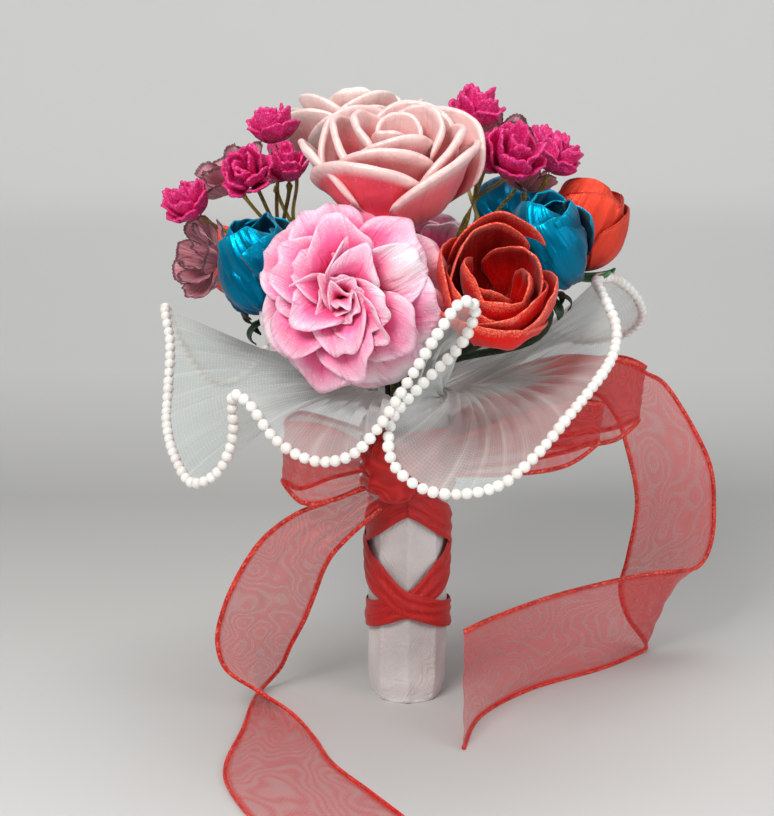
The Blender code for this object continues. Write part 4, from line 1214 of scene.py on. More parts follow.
def carnation_petals(seed: int, columns: int = 30, rows: int = 24) -> list[Petal]:
    """The petals of a carnation, from the outside in.

    Args:
        seed: the seed of their small differences.
        columns: steps across a petal.
        rows: steps along a petal.

    Returns:
        The petals.
    """
    rng = random.Random(seed)
    outer = FrilledPetal(0, 0, 28.5, 30, 3, 3, 8, 1.5, 0.05, 0.18, 0.7, columns, rows)
    second = replace(outer, elevation=20, length=27.0, width=28, start=2.5, height=6, twist=12, wave=1.6,
                     cup=0.08, curl=0.24)
    third = replace(second, elevation=40, length=24.5, width=24, start=2, height=8, twist=18, cup=0.14,
                    curl=0.30, frill=0.6)
    inner = replace(
        third, elevation=60, length=19.0, width=20, start=1.5, height=9, twist=26, cup=0.30, frill=0.5,
    )
    loops = replace(inner, elevation=54, length=20.0, width=18, twist=10, wave=1.0, cup=0.7, curl=0.1)
    heart = replace(loops, elevation=78, length=14.0, width=14, start=0.8, twist=20, wave=1.2, cup=0.5)
    core = replace(heart, elevation=86, length=14.5, width=10, start=-0.6, twist=30, wave=0.8, cup=0.7)
    rings = (
        (8, outer, 4, 1.0), (7, second, 28, 1.3), (6, third, 8, 1.3), (5, inner, 40, 1.3),
        (3, loops, 290, 1.0), (4, heart, 10, 1.0), (2, core, 60, 1.0),
    )
    return [petal for count, like, turn, jitter in rings for petal in ring_of(count, like, turn, rng, jitter)]


def mauve_petals(seed: int) -> list[Petal]:
    """The crinkled petals of a mauve cluster."""
    rng = random.Random(seed)
    outer = CutPetal(0, 100, 13.0, 8.6, 1.6, 0.5, flare=1.6, sag=0.42, teeth=17, tooth=0.03, columns=51,
                     rows=11, crinkle=0.7, pleats=0.16)
    middle = replace(outer, width=112, rim_radius=8.8, rim_height=12.4, foot_height=1.5, flare=1.0)
    inner = replace(outer, width=150, rim_radius=4.0, rim_height=13.2, foot_height=3.0, flare=0.4)
    return ring_of(5, outer, 0, rng) + ring_of(4, middle, 36, rng) + ring_of(2, inner, 10, rng)


def foam_petals(seed: int) -> list[Petal]:
    """The thick jagged petals of a small glitter rose, wound in a spiral."""
    rng = random.Random(seed)
    outer = CutPetal(0, 100, 7.2, 8.0, 1.2, 0.3, flare=2.0, droop=1.0, lean=1.6, sag=0.34, teeth=5,
                     tooth=0.05, columns=22, crinkle=0.55)
    middle = replace(outer, width=120, rim_radius=6.0, rim_height=11.6, foot_height=1.0, flare=1.2, droop=0.3)
    inner = replace(outer, width=150, rim_radius=4.0, rim_height=13.8, foot_height=2.0, flare=0.6, droop=0)
    heart = replace(outer, width=280, rim_radius=1.7, rim_height=13.4, foot_height=3.0, flare=0.2, droop=0)
    return (
        ring_of(5, outer, 0, rng) + ring_of(4, middle, 36, rng) + ring_of(3, inner, 10, rng)
        + ring_of(1, heart, 200, rng)
    )


@dataclass
class FlowerHead:
    """Every large flower, front and rear, with the tones of the roses' petals from the outside in; the red
    roses' negative tones paint shade in their hollows.
    """

    cloth: float = 0.5
    blush_tones: Sequence[float] = (1.0, 0.5, 0.1, 0.0, 0.1, 0.3, 0.4)
    red_tones_and_hollow_shade: Sequence[float] = (0.7, 1.0, 0.3, 0.2, 0.3, 0.2, -0.45, -0.6, 0.3, -0.2, -0.35, 0.7)

    def build(self) -> None:
        """Makes the roses, the carnations and the buds."""
        beds = (
            (BLUSH_SATIN, "blush_satin", 0.0, self.blush_tones, {"rose_blush_front": blush_front_petals()}),
            (BLUSH_PALE_SATIN, "blush_satin", 0.0, (), {"rose_blush_back": blush_back_petals()}),
            (CARNATION_SATIN, "carnation_pink", self.cloth, (),
             {"carnation_front": carnation_petals(21), "carnation_rear": carnation_petals(22, 22, 17)}),
            (RED_SATIN, "red_satin", 0.0, self.red_tones_and_hollow_shade,
             {"rose_red_front": red_petals(3.1), "rose_red_rear": red_petals(7.7)}),
            (TEAL_SATIN, "teal_satin", 0.0, (),
             {"bud_teal_left": teal_petals(5.0), "bud_teal_right": teal_petals(16.0),
              "bud_teal_rear": teal_petals(27.0)}),
            (CORAL_SATIN, "coral_satin", 0.0, (),
             {"bud_coral_right": coral_petals(2.0), "bud_coral_rear": coral_petals(11.0)}),
        )
        for finish, slot, thickness, tones, flowers in beds:
            material = finish.build()
            for node, petals in flowers.items():
                Bloom(PLACINGS[node], material, slot, petals, thickness, tones).build()


# Stems and sprays


def foot_of(node: str) -> Vector:
    """The middle of a stem's foot in the handle's bore, in millimetres, from its CAD solid."""
    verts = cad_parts[node].data.vertices
    lowest = min(vert.co.z for vert in verts)
    feet = [vert.co for vert in verts if vert.co.z < lowest + 0.5 * MM]
    return sum(feet, Vector()) / len(feet) / MM


def stem_path(foot: Vector, base: Vector, way: Vector, end_gap: float) -> list[Vector]:
    """A stem's middle: straight up through the handle, then in one curve to the flower's foot."""
    high = Vector((foot.x, foot.y, 120))
    end = base - way * 7
    pull = (end - high).length * 0.38
    rise = [foot.lerp(high, step / 3) for step in range(3)]
    leave, arrive = high + Vector((0, 0, pull)), end - way * pull
    curve = [bezier(high, leave, arrive, end, step / 16) for step in range(17)]
    return rise + curve + [base - way * end_gap]


@dataclass
class WiredStem:
    """A flower's stem with the curled or cupped sepals under the flower."""

    placing: Placing
    finish: bpy.types.Material
    calyx_finish: bpy.types.Material
    cupped: bool = False

    def sepal(self, heading: float, reach: float, seed: float) -> Form:
        """A sepal that curls back from the flower, or cups it."""
        turn = math.radians(heading)
        out, across = around(1, turn), around(1, turn + math.pi / 2)

        def form(s: float, t: float) -> Vector:
            """A point of the sepal, from its foot outwards."""
            side = 2 * s - 1
            if self.cupped:
                forward, down = reach * math.sin(1.5 * t), -reach * 0.62 * (1 - math.cos(1.5 * t))
            else:
                forward = reach * math.sin(min(2.3 * t, 2.2)) / 2.2 * 1.7
                down = reach * 0.42 * (1 - math.cos(2.3 * t)) - 0.9 * t
            half = reach * (0.26 if self.cupped else 0.17) * math.sin(math.pi * (0.16 + 0.82 * t)) + 0.15
            place = out * (1.2 + forward) + across * (half * side + 0.9 * math.sin(seed + 2.5 * t))
            return place + Vector((0, 0, -down + 0.35 * half * side**2 - 0.6))

        return form

    def build(self) -> None:
        """The stem and its calyx, each a piece."""
        node = "stem_" + self.placing.node
        path = stem_path(foot_of(node), self.placing.base(), self.placing.way(), 1.0)
        stem = ClothMesh()
        stem.tube(path, lambda part: 1.5 + 1.6 * smooth_step((part - 0.93) / 0.07), 10)
        stem.settled()
        stem.piece(node + "_wire", self.finish, [node], "stem_green")
        calyx = ClothMesh()
        rng = random.Random(node)
        for index in range(6):
            heading = 60 * index + rng.uniform(-12, 12)
            reach = self.placing.calyx * rng.uniform(0.85, 1.1)
            calyx.sheet(5, 14, self.sepal(heading, reach, rng.uniform(0, 6)))
        calyx.piece(node + "_sepals", self.calyx_finish, [node], "stem_green", self.placing.stand(), 0.4)


@dataclass
class Spray:
    """The branched wires of a filler spray, with its flowers."""

    name: str
    fork: Triple
    flowers: Sequence[Placing]
    wire: bpy.types.Material
    foam: bpy.types.Material
    mauve: bpy.types.Material

    def build(self) -> None:
        """The wires as one piece and each flower as its own."""
        node = "wires_" + self.name
        fork = Vector(self.fork)
        lean = Vector((fork.x, fork.y, 60)).normalized()
        wires = ClothMesh()
        wires.tube(stem_path(foot_of(node), fork, lean, 0.5), lambda part: 1.35, 8)
        start = fork - lean * 2.0
        for flower in self.flowers:
            way = flower.way()
            end = flower.base() - way * 0.3
            pull = (end - start).length * 0.35
            leave, arrive = start + lean * pull, end - way * pull
            path = [bezier(start, leave, arrive, end, step / 12) for step in range(13)]
            wires.tube(path, lambda part: 0.75 + 0.9 * smooth_step((part - 0.8) / 0.2), 8)
        wires.settled()
        wires.piece(node + "_olive", self.wire, [node], "wire_olive")
        for index, flower in enumerate(self.flowers):
            seed = sum(map(ord, flower.node)) + index
            if flower.node.startswith("mauve"):
                Bloom(flower, self.mauve, "mauve_organza", mauve_petals(seed), 0.25).build()
            else:
                Bloom(flower, self.foam, "foam_magenta", foam_petals(seed), 0.9).build()


# Handle


@dataclass
class Handle:
    """The eight-sided padded handle in its white cloth, with the bore for the stems."""

    sides: int = 8
    radius: float = 15.0
    foot_radius: float = 13.4
    height: float = 116.0
    bore: float = 9.8
    bore_floor: float = 10.0
    seam: float = 9.0
    columns: int = 128
    rows: int = 170

    def skin(self, turn: float, height: float) -> float:
        """The cloth's distance from the middle, rounded over the eight edges."""
        step = 2 * math.pi / self.sides
        part = (turn % step) / step * 2 - 1
        radius = self.radius * math.cos(step / 2) / math.cos(part * step / 2)
        radius -= (self.radius - self.foot_radius) * smooth_step((self.seam - height) / self.seam)
        place = around(1.3, turn, height * 0.05)
        return radius + 0.35 * noise.noise(place) + 0.18 * noise.noise(place * 3.3)

    def form(self, s: float, t: float) -> Vector:
        """A point of the closed wall: foot, outside, rim, bore and its floor."""
        turn = 2 * math.pi * s
        if t < 0.08:
            radius, height = self.foot_radius * t / 0.08 * 0.98, 0.0
        elif t < 0.70:
            height = self.height * (t - 0.08) / 0.62
            radius = self.skin(turn, height)
            if height < 0.5:
                radius = min(radius, self.foot_radius)
        elif t < 0.78:
            part = (t - 0.70) / 0.08
            radius = self.skin(turn, self.height) * (1 - part) + self.bore * part
            height = self.height - 0.6 * abs(2 * part - 1)
        elif t < 0.94:
            radius = self.bore
            height = self.height + (self.bore_floor - self.height) * (t - 0.78) / 0.16
        else:
            radius, height = self.bore * (1 - (t - 0.94) / 0.06), self.bore_floor
        return around(radius, turn, height)

    def build(self) -> None:
        """The handle as one piece."""
        wall = ClothMesh()
        wall.sheet(self.columns, self.rows, self.form)
        wall.settled()
        wall.piece("handle_wrap_cloth", HANDLE_CLOTH.build(), ["handle_wrap"], "handle_cloth")


# Collar and pearls


COLLAR_EDGE = (
    (-93, 25, 147), (-89.5, 8, 136), (-89, -8, 121), (-88, -22, 113), (-83.5, -38, 105), (-76, -52, 99.5),
    (-66, -60, 106), (-60.5, -63, 119), (-60, -67, 134), (-54, -73, 133), (-45, -78, 122),
    (-32.5, -84, 116.5), (-20, -89, 119.5), (-10.5, -91.5, 130), (0, -92, 147), (8.5, -91.5, 161),
    (15.5, -89.5, 170.5), (20.8, -84, 167.6), (16.4, -81.8, 155.4), (4.1, -80.5, 142), (-6, -85, 130.8),
    (-6.5, -94, 119.5), (3, -97, 111), (16, -96, 108.5), (30, -91, 110.5), (42, -84, 119),
    (52, -74, 128), (63, -60, 137), (70.5, -46, 144), (73, -32, 151.5), (70, -17, 159.5),
    (69, -3, 162.5), (76, 11.5, 161), (83, 22, 156), (89.5, 31, 148), (92, 42, 139), (86, 55, 130),
    (70, 69, 125), (55, 80, 130), (43, 89, 137), (28, 95, 130), (14, 97, 114), (-6, 96, 108),
    (-24, 92, 122), (-36, 88, 140), (-50, 80, 132), (-64, 69, 112), (-78, 57, 110), (-88, 42, 128),
)


@dataclass
class TulleCollar:
    """The gathered tulle round the top of the handle, waved along its edge."""

    columns: int = 760
    rows: int = 34
    neck_radius: float = 16.3
    neck_bottom: float = 114.5
    neck_top: float = 119.0
    neck_start: float = 165.0
    rise: float = 11.0
    level: float = 120.0
    turnover: float = 25.0
    deepest_sag: float = -0.7
    inset: float = 1.9
    pleats: int = 76
    cloth_width: float = 96.0

    def edge_line(self, count: int) -> list[Vector]:
        """The pearl cord's middle at even lengths round the collar."""
        return evenly_spaced(smooth_through(COLLAR_EDGE, 12 * len(COLLAR_EDGE), True), count, True)

    def line(self, turn: float, edge: Vector) -> Callable[[float], Vector]:
        """The collar's run from its neck (0) to just inside the pearl cord (1)."""
        out = around(1, turn)
        neck = around(self.neck_radius, turn, self.neck_top)
        share = clamp(1 - (edge.z - self.level) / self.turnover, self.deepest_sag, 1.0)
        first = neck + out * 14 + Vector((0, 0, self.rise * max(0.1, share)))
        straight_out = neck + out * ((edge - neck).xy.length * 0.62)
        second = neck.lerp(edge, 0.62)
        second.xy = second.xy.lerp(straight_out.xy, 0.5)
        second.z += self.rise * 0.9 * share
        last = edge - (edge - second).normalized() * self.inset
        return lambda part: bezier(neck, first, second, last, part)

    def build(self) -> None:
        """The collar as one sheet, the pearls and their cord."""
        edges = self.edge_line(self.columns)
        length = line_length(edges + edges[:1])
        turns = [2 * math.pi * index / self.columns for index in range(self.columns)]
        start = math.radians(self.neck_start)
        runs = [self.line(start + turn, edge) for turn, edge in zip(turns, edges)]
        phases = [self.pleats * turn + 2.4 * noise.noise(around(5, turn, 2.0)) for turn in turns]

        def form(s: float, t: float) -> Vector:
            """A point of the net, with its pleats."""
            index = round(s * self.columns) % self.columns
            row = t * self.rows
            turn = start + turns[index]
            out = around(1, turn)
            if row < 2.5:
                height = self.neck_bottom + (self.neck_top - self.neck_bottom) * row / 3
                part, point, normal = 0.0, around(self.neck_radius, turn, height), out
            else:
                part = (row - 3) / (self.rows - 3)
                point = runs[index](part)
                ahead = runs[index](min(1.0, part + 0.02)) - runs[index](max(0.0, part - 0.02))
                beside = runs[(index + 3) % self.columns](part) - runs[index - 3](part)
                normal = ahead.cross(beside)
                normal = normal.normalized() if normal.length > 1e-6 else out
            swell = 0.55 + 1.35 * smooth_step(part / 0.35) - 1.55 * smooth_step((part - 0.35) / 0.65)
            ripple = math.sin(phases[index]) * swell
            drift = 0.7 * noise.noise(point * 0.06) * smooth_step(part * 2) * (1 - part)
            return point + normal * (ripple + drift)

        def gather(s: float, t: float) -> float:
            """How closely the net is gathered at a point."""
            index = round(s * self.columns) % self.columns
            crease = max(0.0, math.sin(phases[index] + 0.8))
            return 0.85 * (1 - smooth_step(t / 0.5)) + 0.28 * crease**3 * (1 - 0.6 * t)

        tulle = ClothMesh()
        tulle.sheet(self.columns, self.rows, form, gather)
        bmesh.ops.remove_doubles(tulle.work, verts=tulle.work.verts, dist=0.002)
        # The net's thread is painted grey as shade.
        finish = TulleFinish("white_tulle", rgb(170, 184, 180), self.cloth_width, length)
        sheet = tulle.piece("tulle_collar_net", finish.build(), ["tulle_collar"], "tulle")
        PearlTrim(self.edge_line(2400), length).build()


@dataclass
class PearlTrim:
    """The faux pearls on their cord along the collar's edge."""

    middle: Sequence[Vector]
    length: float
    pitch: float = 3.75
    radius: float = 2.14

    def build(self) -> None:
        """All the pearls as one piece, with the cord as another."""
        count = round(self.length / self.pitch)
        rng = random.Random(7)
        beads = ClothMesh()
        for index in range(count):
            here = self.middle[round(index / count * len(self.middle)) % len(self.middle)]
            size = self.radius * rng.uniform(0.93, 1.02)
            turn = Matrix.Rotation(rng.uniform(0, 6.28), 4, Vector((rng.random(), rng.random(), 1)))
            shape = Matrix.Diagonal((1.0, rng.uniform(0.93, 1.0), rng.uniform(0.9, 1.0), 1.0))
            matrix = Matrix.Translation(here) @ turn @ shape
            bmesh.ops.create_uvsphere(beads.work, u_segments=8, v_segments=6, radius=size, matrix=matrix)
        beads.piece("pearl_trim_beads", PEARL.build(), ["pearl_trim"], "pearl")
        cord = ClothMesh()
        path = [self.middle[index] for index in range(0, len(self.middle), 4)] + [self.middle[0]]
        cord.tube(path, lambda part: 0.55, 6)
        cord.settled()
        cord.piece("pearl_trim_cord", CORD_WHITE.build(), ["pearl_trim"], "pearl")


# Ribbon


LOOP_LEFT = (
    ((-16.7, -22, 97), (0, 0, 1), 8), ((-27, -32, 100), (0.05, 0, 1), 13),
    ((-37.5, -34, 101.5), (0.08, 0.05, 1), 14.5), ((-45.5, -27, 104), (0.06, 0.05, 1), 10.5),
    ((-40, -17, 101.5), (0, 0, 1), 14.5), ((-28, -9, 100), (0, 0, 1), 11), ((-17.3, -3.6, 98), (0, 0, 1), 8),
)
LOOP_RIGHT = (
    ((17.7, -1, 101), (0, 0, 1), 7), ((38, 3, 109), (-0.1, 0, 1), 13), ((60, 7, 113.5), (-0.1, 0.1, 1), 16.5),
    ((79, 9, 114.5), (0, 0.1, 1), 15.5), ((90, 15.5, 115.5), (0.1, 0.05, 1), 10.0),
    ((80, 22, 114), (0.05, 0.1, 1), 14), ((58, 20, 111), (-0.1, 0, 1), 14), ((36, 14, 106), (-0.1, 0, 1), 11),
    ((16.6, 6.2, 101), (0, 0, 1), 7),
)
LOOP_LOW = (
    ((12.5, -12.5, 97), (0, 0, 1), 6), ((36, -19, 103), (-0.1, 0, 1), 10),
    ((58, -15, 107), (0, 0.1, 1), 11.5), ((72, -7, 109.5), (0.1, 0, 1), 7),
    ((60, -1.5, 107), (0, 0, 1), 10), ((38, -5, 102), (-0.1, 0, 1), 8.5), ((16, -7.6, 97), (0, 0, 1), 6),
)
TAIL_LEFT_OUTER = (
    (-15.5, -21, 88.5), (-29, -23, 84), (-42, -26, 79.5), (-54, -29, 70.5), (-63.5, -29, 55.5),
    (-69.5, -27, 40), (-71, -26, 28.8), (-67.6, -25, 18.3), (-56.5, -24, 9.9), (-43.5, -29, 3),
    (-34.2, -47, 0.8),
    (-27, -68, 0.5), (-14, -90, 0.5), (0, -114, 0.5), (8, -131, 0.5),
)
TAIL_LEFT_INNER = (
    (-10, -21.5, 81), (-21, -22, 71), (-28, -21, 63), (-32, -15, 54), (-35, -9, 44), (-39.5, -4, 31),
    (-45, -2, 19.7), (-49.5, 1, 9), (-56.6, 0, 1.0), (-59.5, -14.5, 0.6), (-61.2, -38, 0.6),
    (-65, -70, 0.5), (-61, -92, 0.5), (-48, -120, 0.5), (-31, -144, 0.5),
)
TAIL_RIGHT_INNER = (
    (9, 15.4, 91), (24, 24, 92), (45, 29, 97), (62, 29, 107), (73, 29, 112), (81, 31, 104), (86.5, 35, 91),
    (92.5, 40, 65), (90, 44, 40), (88, 49, 25), (92, 52, 11), (98.5, 42, 3), (94, 37, 0.6), (77, 21, 0.5),
    (48, 0.5, 0.5), (27, -26, 0.5), (19.5, -56, 0.5),
)
TAIL_RIGHT_OUTER = (
    (5, 17.1, 104), (18, 27, 112), (38, 36, 119), (62, 44, 123.5), (84, 49, 120.5), (96, 50, 115.5),
    (106, 49, 108), (122, 48, 80), (125.5, 49, 57), (124, 47, 43), (118, 38, 38), (109, 28, 39.5),
    (101, 27, 39.3), (86, 22, 38.5), (57, 2, 38.5), (33, -21, 38.5), (20, -37, 38.5),
)
RIBBON_WIDTH = 38.0
# The turn round the handle from its front, the height of the crossed band there and half its width
WRAP_ROUTE = (
    (0, 83, 7.5), (60, 72, 7.0), (90, 66.5, 7.5), (180, 60, 8.0), (270, 57, 9.0), (315, 50, 7.5),
    (360, 41, 5.4), (420, 35, 5.4), (450, 33, 5.6), (550, 30, 5.6),
)


@dataclass
class RibbonLength:
    """A length of sheer ribbon between two edges, creased where it is gathered."""

    node: str
    lows: Sequence[Vector]
    highs: Sequence[Vector]
    held: str
    hem: bpy.types.Material
    cover: float = 0.56
    columns: int = 180
    rows: int = 22
    creases: float = 4.0
    gathers_to: float = 31.0
    ripple: float = 0.25
    eased: float = 0.0
    thinning: float = 0.0

    @classmethod
    def from_stations(cls, node: str, stations: Sequence, **values) -> "RibbonLength":
        """A ribbon through stations of middle, direction across and half width."""
        lows, highs = [], []
        for middle, across, half in stations:
            side = Vector(across).normalized() * half
            lows.append(Vector(middle) - side)
            highs.append(Vector(middle) + side)
        return cls(node, lows, highs, **values)

    def build(self) -> None:
        """The ribbon as a sheet, and its two wired hems."""
        low = smooth_through(self.lows, self.columns)
        high = smooth_through(self.highs, self.columns)
        middle = [a.lerp(b, 0.5) for a, b in zip(low, high)]
        length = line_length(middle)
        normals, depths = [], []
        for index in range(self.columns + 1):
            along = middle[min(self.columns, index + 1)] - middle[max(0, index - 1)]
            across = high[index] - low[index]
            normals.append(along.cross(across).normalized())
            width = across.length
            ratio = max(1.0, self.gathers_to / width)
            depth = math.sqrt(2 * (ratio**2 - 1)) * width / (2 * math.pi * self.creases)
            depths.append(min(2.0, depth) + self.ripple)

        def form(s: float, t: float) -> Vector:
            """A point of the ribbon, with its ripples."""
            index = round(s * self.columns)
            point = low[index].lerp(high[index], t)
            hold = (1 - abs(2 * t - 1) ** 6) * (1 - self.eased * math.exp(-(((s - 0.5) / 0.16) ** 2)))
            phase = 2 * math.pi * self.creases * t + 1.5 * noise.noise(Vector((s * 6, t * 2, len(self.node))))
            off = depths[index] * math.sin(phase) + 0.8 * noise.noise(point * 0.07)
            lifted = point + normals[index] * (off * hold)
            lifted.z = max(lifted.z, min(point.z, 0.5))
            return lifted

        finish = OrganzaFinish(
            self.node + "_organza", rgb(214, 14, 20), rgb(226, 74, 72), self.cover, RIBBON_WIDTH, length,
            thinning=self.thinning,
        )
        sheer = ClothMesh()
        sheer.sheet(self.columns, self.rows, form)
        sheet = sheer.piece(self.node + "_sheer", finish.build(), [self.node], "organza_red")
        hems = ClothMesh()
        for line, other in ((low, high), (high, low)):
            inward = (other[0] - line[0]).normalized()
            hems.tube(line, lambda part: 0.85, 8, 0.5, inward)
        hems.settled()
        hem = hems.piece(self.node + "_hems", self.hem, [self.node], "organza_red")


@dataclass
class HandleTie:
    """The crossed bands on the handle, the gathered band round its neck and the knot."""

    radius: float = 15.8
    step: float = 0.55
    folded: float = 18.5
    neck_radius: float = 17.2
    neck_bottom: float = 83.5
    neck_height: float = 25.5
    neck_length: float = 110.0

    @staticmethod
    def route(turn: float) -> tuple[float, float]:
        """The height of a crossed band at a turn from the front, and half its width."""
        for (start, low, thin), (end, high, wide) in zip(WRAP_ROUTE, WRAP_ROUTE[1:]):
            if turn <= end:
                part = (turn - start) / (end - start)
                part = smooth_step(part) * 0.4 + part * 0.6
                return low + (high - low) * part, thin + (wide - thin) * part
        return WRAP_ROUTE[-1][1:]

    def crossed(self, hand: int, radius: float) -> Form:
        """A band that winds down from the front of the handle, one way round (1) or the other (-1)."""
        def form(s: float, t: float) -> Vector:
            """A point of the band."""
            turn = WRAP_ROUTE[-1][0] * s
            middle, half = self.route(turn)
            wave = noise.noise(Vector((s * 7, t * 1.3, hand)))
            crease = 0.5 + 0.24 * math.sin(2 * math.pi * 2.6 * t + 5 * wave) + 0.5 * wave
            reach = radius + crease * (1 - abs(2 * t - 1) ** 6)
            return around(reach, math.radians(270 - hand * turn), middle + (2 * t - 1) * half)

        return form

    def neck(self, s: float, t: float) -> Vector:
        """A point of the gathered band."""
        crease = 0.6 + 0.6 * math.sin(2 * math.pi * 5 * t + 4 * noise.noise(Vector((s * 5, t, 1))))
        return around(self.neck_radius + crease, 2 * math.pi * s, self.neck_bottom + self.neck_height * t)

    @staticmethod
    def knot(s: float, t: float) -> Vector:
        """A point of the knot."""
        turn, climb = 2 * math.pi * s, math.pi * (t - 0.5)
        crease = 1 + 0.10 * math.sin(9 * climb + 3 * math.sin(turn))
        ring = math.cos(climb) * (crease + 0.06 * noise.noise(Vector((s * 8, t * 8, 2))))
        middle, half = Vector((-5, -21.5, 95)), Vector((10.5, 5.2, 12.5))
        return middle + half * around(ring, turn, math.sin(climb))

    def build(self) -> None:
        """The bands, the neck and the knot."""
        bands, neck, knot = ClothMesh(), ClothMesh(), ClothMesh()
        for hand, radius in ((1, self.radius), (-1, self.radius + self.step)):
            bands.sheet(190, 34, self.crossed(hand, radius))
        length = math.radians(WRAP_ROUTE[-1][0]) * (2 * self.radius + self.step)
        finish = OrganzaFinish("ribbon_wrap_organza", rgb(176, 5, 7), rgb(226, 32, 22), 1.0, 30, length, 0.04)
        sheet = bands.piece("ribbon_wrap_bands", finish.build(), ["ribbon_wrap"], "organza_red")
        length * MM
        neck.sheet(120, 50, self.neck)
        bmesh.ops.remove_doubles(neck.work, verts=neck.work.verts, dist=0.01)
        finish = OrganzaFinish(
            "ribbon_neck_organza", rgb(184, 8, 10), rgb(226, 46, 38), 0.9, RIBBON_WIDTH, self.neck_length,
            0.1,
        )
        sheet = neck.piece("ribbon_neck_band", finish.build(), ["ribbon_knot"], "organza_red")
        knot.sheet(64, 40, self.knot)
        knot.settled()
        finish = OrganzaFinish("ribbon_knot_organza", rgb(192, 8, 12), rgb(228, 52, 44), 0.86, 30, 60, 0.1)
        knot.piece("ribbon_knot_bundle", finish.build(), ["ribbon_knot"], "organza_red")


def build_ribbons() -> None:
    """Every length of the red ribbon."""
    HandleTie().build()
    hem = HEM_RED.build()
    loops = {"bow_loop_left": LOOP_LEFT, "bow_loop_right": LOOP_RIGHT, "bow_loop_low": LOOP_LOW}
    for node, stations in loops.items():
        RibbonLength.from_stations(node, stations, held="gathered", hem=hem, columns=130, eased=0.9).build()
    tails = (
        ("ribbon_tail_left", TAIL_LEFT_INNER, TAIL_LEFT_OUTER, 0.16),
        ("ribbon_tail_right", TAIL_RIGHT_INNER, TAIL_RIGHT_OUTER, 0.0),
    )
    for node, inner, outer, thinning in tails:
        RibbonLength(node, inner, outer, "hung", hem, columns=260, gathers_to=26.0, thinning=thinning).build()


# Studio


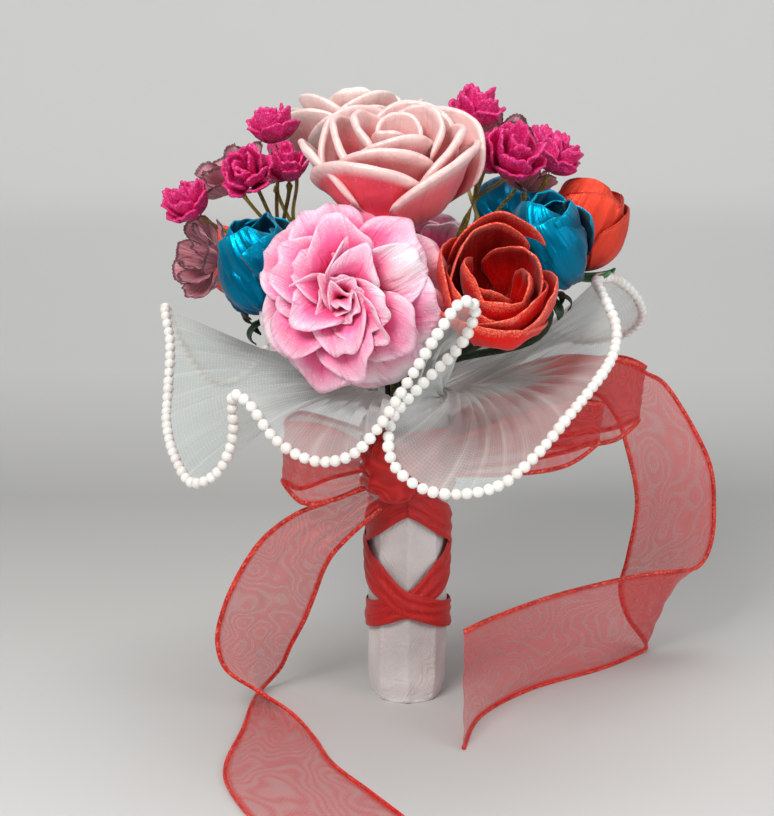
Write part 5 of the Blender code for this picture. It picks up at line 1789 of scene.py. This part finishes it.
@dataclass
class Studio:
    """A pale floor that curves up into a wall, soft lights and the camera."""

    aim: Triple = (-7.9, 0.0, 113.5)
    distance: float = 700.0
    elevation: float = 14.0
    lens: float = 82.37
    floor: float = 1300.0
    bend: float = 500.0
    wall: float = 500.0

    @staticmethod
    def paper() -> bpy.types.Material:
        """Pale matt paper, painted with a soft darker band of shadow behind the bouquet and painted lighter
        in front and far behind.
        """
        skin = Surface("studio_paper", 0.9)
        cloud = sample(skin.tree, "ShaderNodeTexNoise", {"Vector": skin.place, "Scale": 2.2, "Detail": 3.0})
        away = skin.place.parts()[1]
        # Painted shadow in a band behind the bouquet, and painted light beyond it.
        tone = sample(skin.tree, "ShaderNodeMapRange", {0: away, 1: -1.0, 2: 2.0}).colours(
            (0.25, rgb(216, 215, 214)), (0.36, rgb(182, 182, 180)), (0.42, rgb(158, 158, 156)),
            (0.52, rgb(198, 198, 196)), (0.8, rgb(242, 242, 241)),
        )
        skin.feed("Base Color", (cloud * 0.2).mix(tone, rgb(214, 212, 210)))
        return skin.material

    def backdrop(self) -> None:
        """The round floor and the low wall that it curves up into, as one sheet."""
        cove = bmesh.new()
        bmesh.ops.create_grid(cove, x_segments=96, y_segments=60, size=1.0)
        curve = self.bend * math.pi / 2
        for vert in cove.verts:
            turn = math.pi * vert.co.x
            along = (vert.co.y + 1) / 2 * (self.floor + curve + self.wall)
            lift = clamp((along - self.floor) / self.bend, 0.0, math.pi / 2)
            radius = min(along, self.floor) + self.bend * math.sin(lift)
            height = self.bend * (1 - math.cos(lift)) + max(0.0, along - self.floor - curve)
            vert.co = Vector((radius * math.sin(turn), radius * math.cos(turn), height)) * MM
        bmesh.ops.remove_doubles(cove, verts=cove.verts, dist=0.0001)
        add_object("studio_cove", mesh_of(cove, "studio_cove", self.paper()))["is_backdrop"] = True

    def lamp(
        self, name: str, place: Triple, size: float, power: float, tint: Colour, aim: Triple | None = None,
    ) -> None:
        """A soft square light that faces the bouquet, or another place."""
        data = bpy.data.lights.new(name, "AREA")
        data.size = size
        data.energy = power
        data.color = tint
        thing = add_object(name, data)
        thing.location = Vector(place) * MM
        way = Vector(aim or self.aim) - Vector(place)
        thing.rotation_euler = way.to_track_quat("-Z", "Y").to_euler()

    def build(self) -> None:
        """The backdrop, the lights, the world and the camera."""
        self.backdrop()
        self.lamp("key", (-420, -760, 900), 0.4, 9.4, (1.0, 0.985, 0.96))
        self.lamp("fill", (820, -620, 520), 0.7, 3.6, (0.96, 0.98, 1.0))
        self.lamp("top", (60, 160, 1150), 0.6, 3.2, (1.0, 1.0, 1.0))
        self.lamp("wall", (0, 500, 1300), 1.2, 4.5, (1.0, 0.99, 0.97), (0, 1700, 150))
        world = bpy.data.worlds.new("studio_air")
        world.use_nodes = True
        air = world.node_tree.nodes["Background"].inputs
        air["Color"].default_value = (0.95, 0.97, 1.0, 1.0)
        air["Strength"].default_value = 0.30
        bpy.context.scene.world = world
        bpy.context.scene.view_settings.view_transform = "Standard"
        lens = bpy.data.cameras.new("camera")
        lens.lens = self.lens
        lens.sensor_width = 36.0
        lens.clip_start = 0.05
        camera = add_object("camera", lens)
        tilt = math.radians(self.elevation)
        ahead = Vector((0, math.cos(tilt), -math.sin(tilt)))
        camera.location = (Vector(self.aim) - ahead * self.distance) * MM
        camera.rotation_euler = (math.pi / 2 - tilt, 0, 0)
        bpy.context.scene.camera = camera


def write_size() -> None:
    """Works out the CAD box and the visual model's box, and keeps neither."""
    boxes = [[list(map(float, corner)) for corner in box] for box in (CAD_BOX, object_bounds())]


def main() -> None:
    """Builds the bouquet in order."""
    logging.basicConfig(level=logging.INFO, format="%(message)s")
    for effect in Effect:
        effect.build()
    Studio().build()
    Handle().build()
    FlowerHead().build()
    stem, leaf = STEM_GREEN.build(), LEAF_SATIN.build()
    for node, placing in PLACINGS.items():
        leafy = node == "bud_coral_right"
        WiredStem(placing, stem, leaf if leafy else stem, leafy).build()
    wire, foam, mauve = OLIVE_WIRE.build(), MAGENTA_FOAM.build(), MAUVE_ORGANZA.build()
    for name, fork, flowers in SPRAYS:
        Spray(name, fork, flowers, wire, foam, mauve).build()
    TulleCollar().build()
    build_ribbons()
    write_size()


if __name__ == "__main__":
    main()
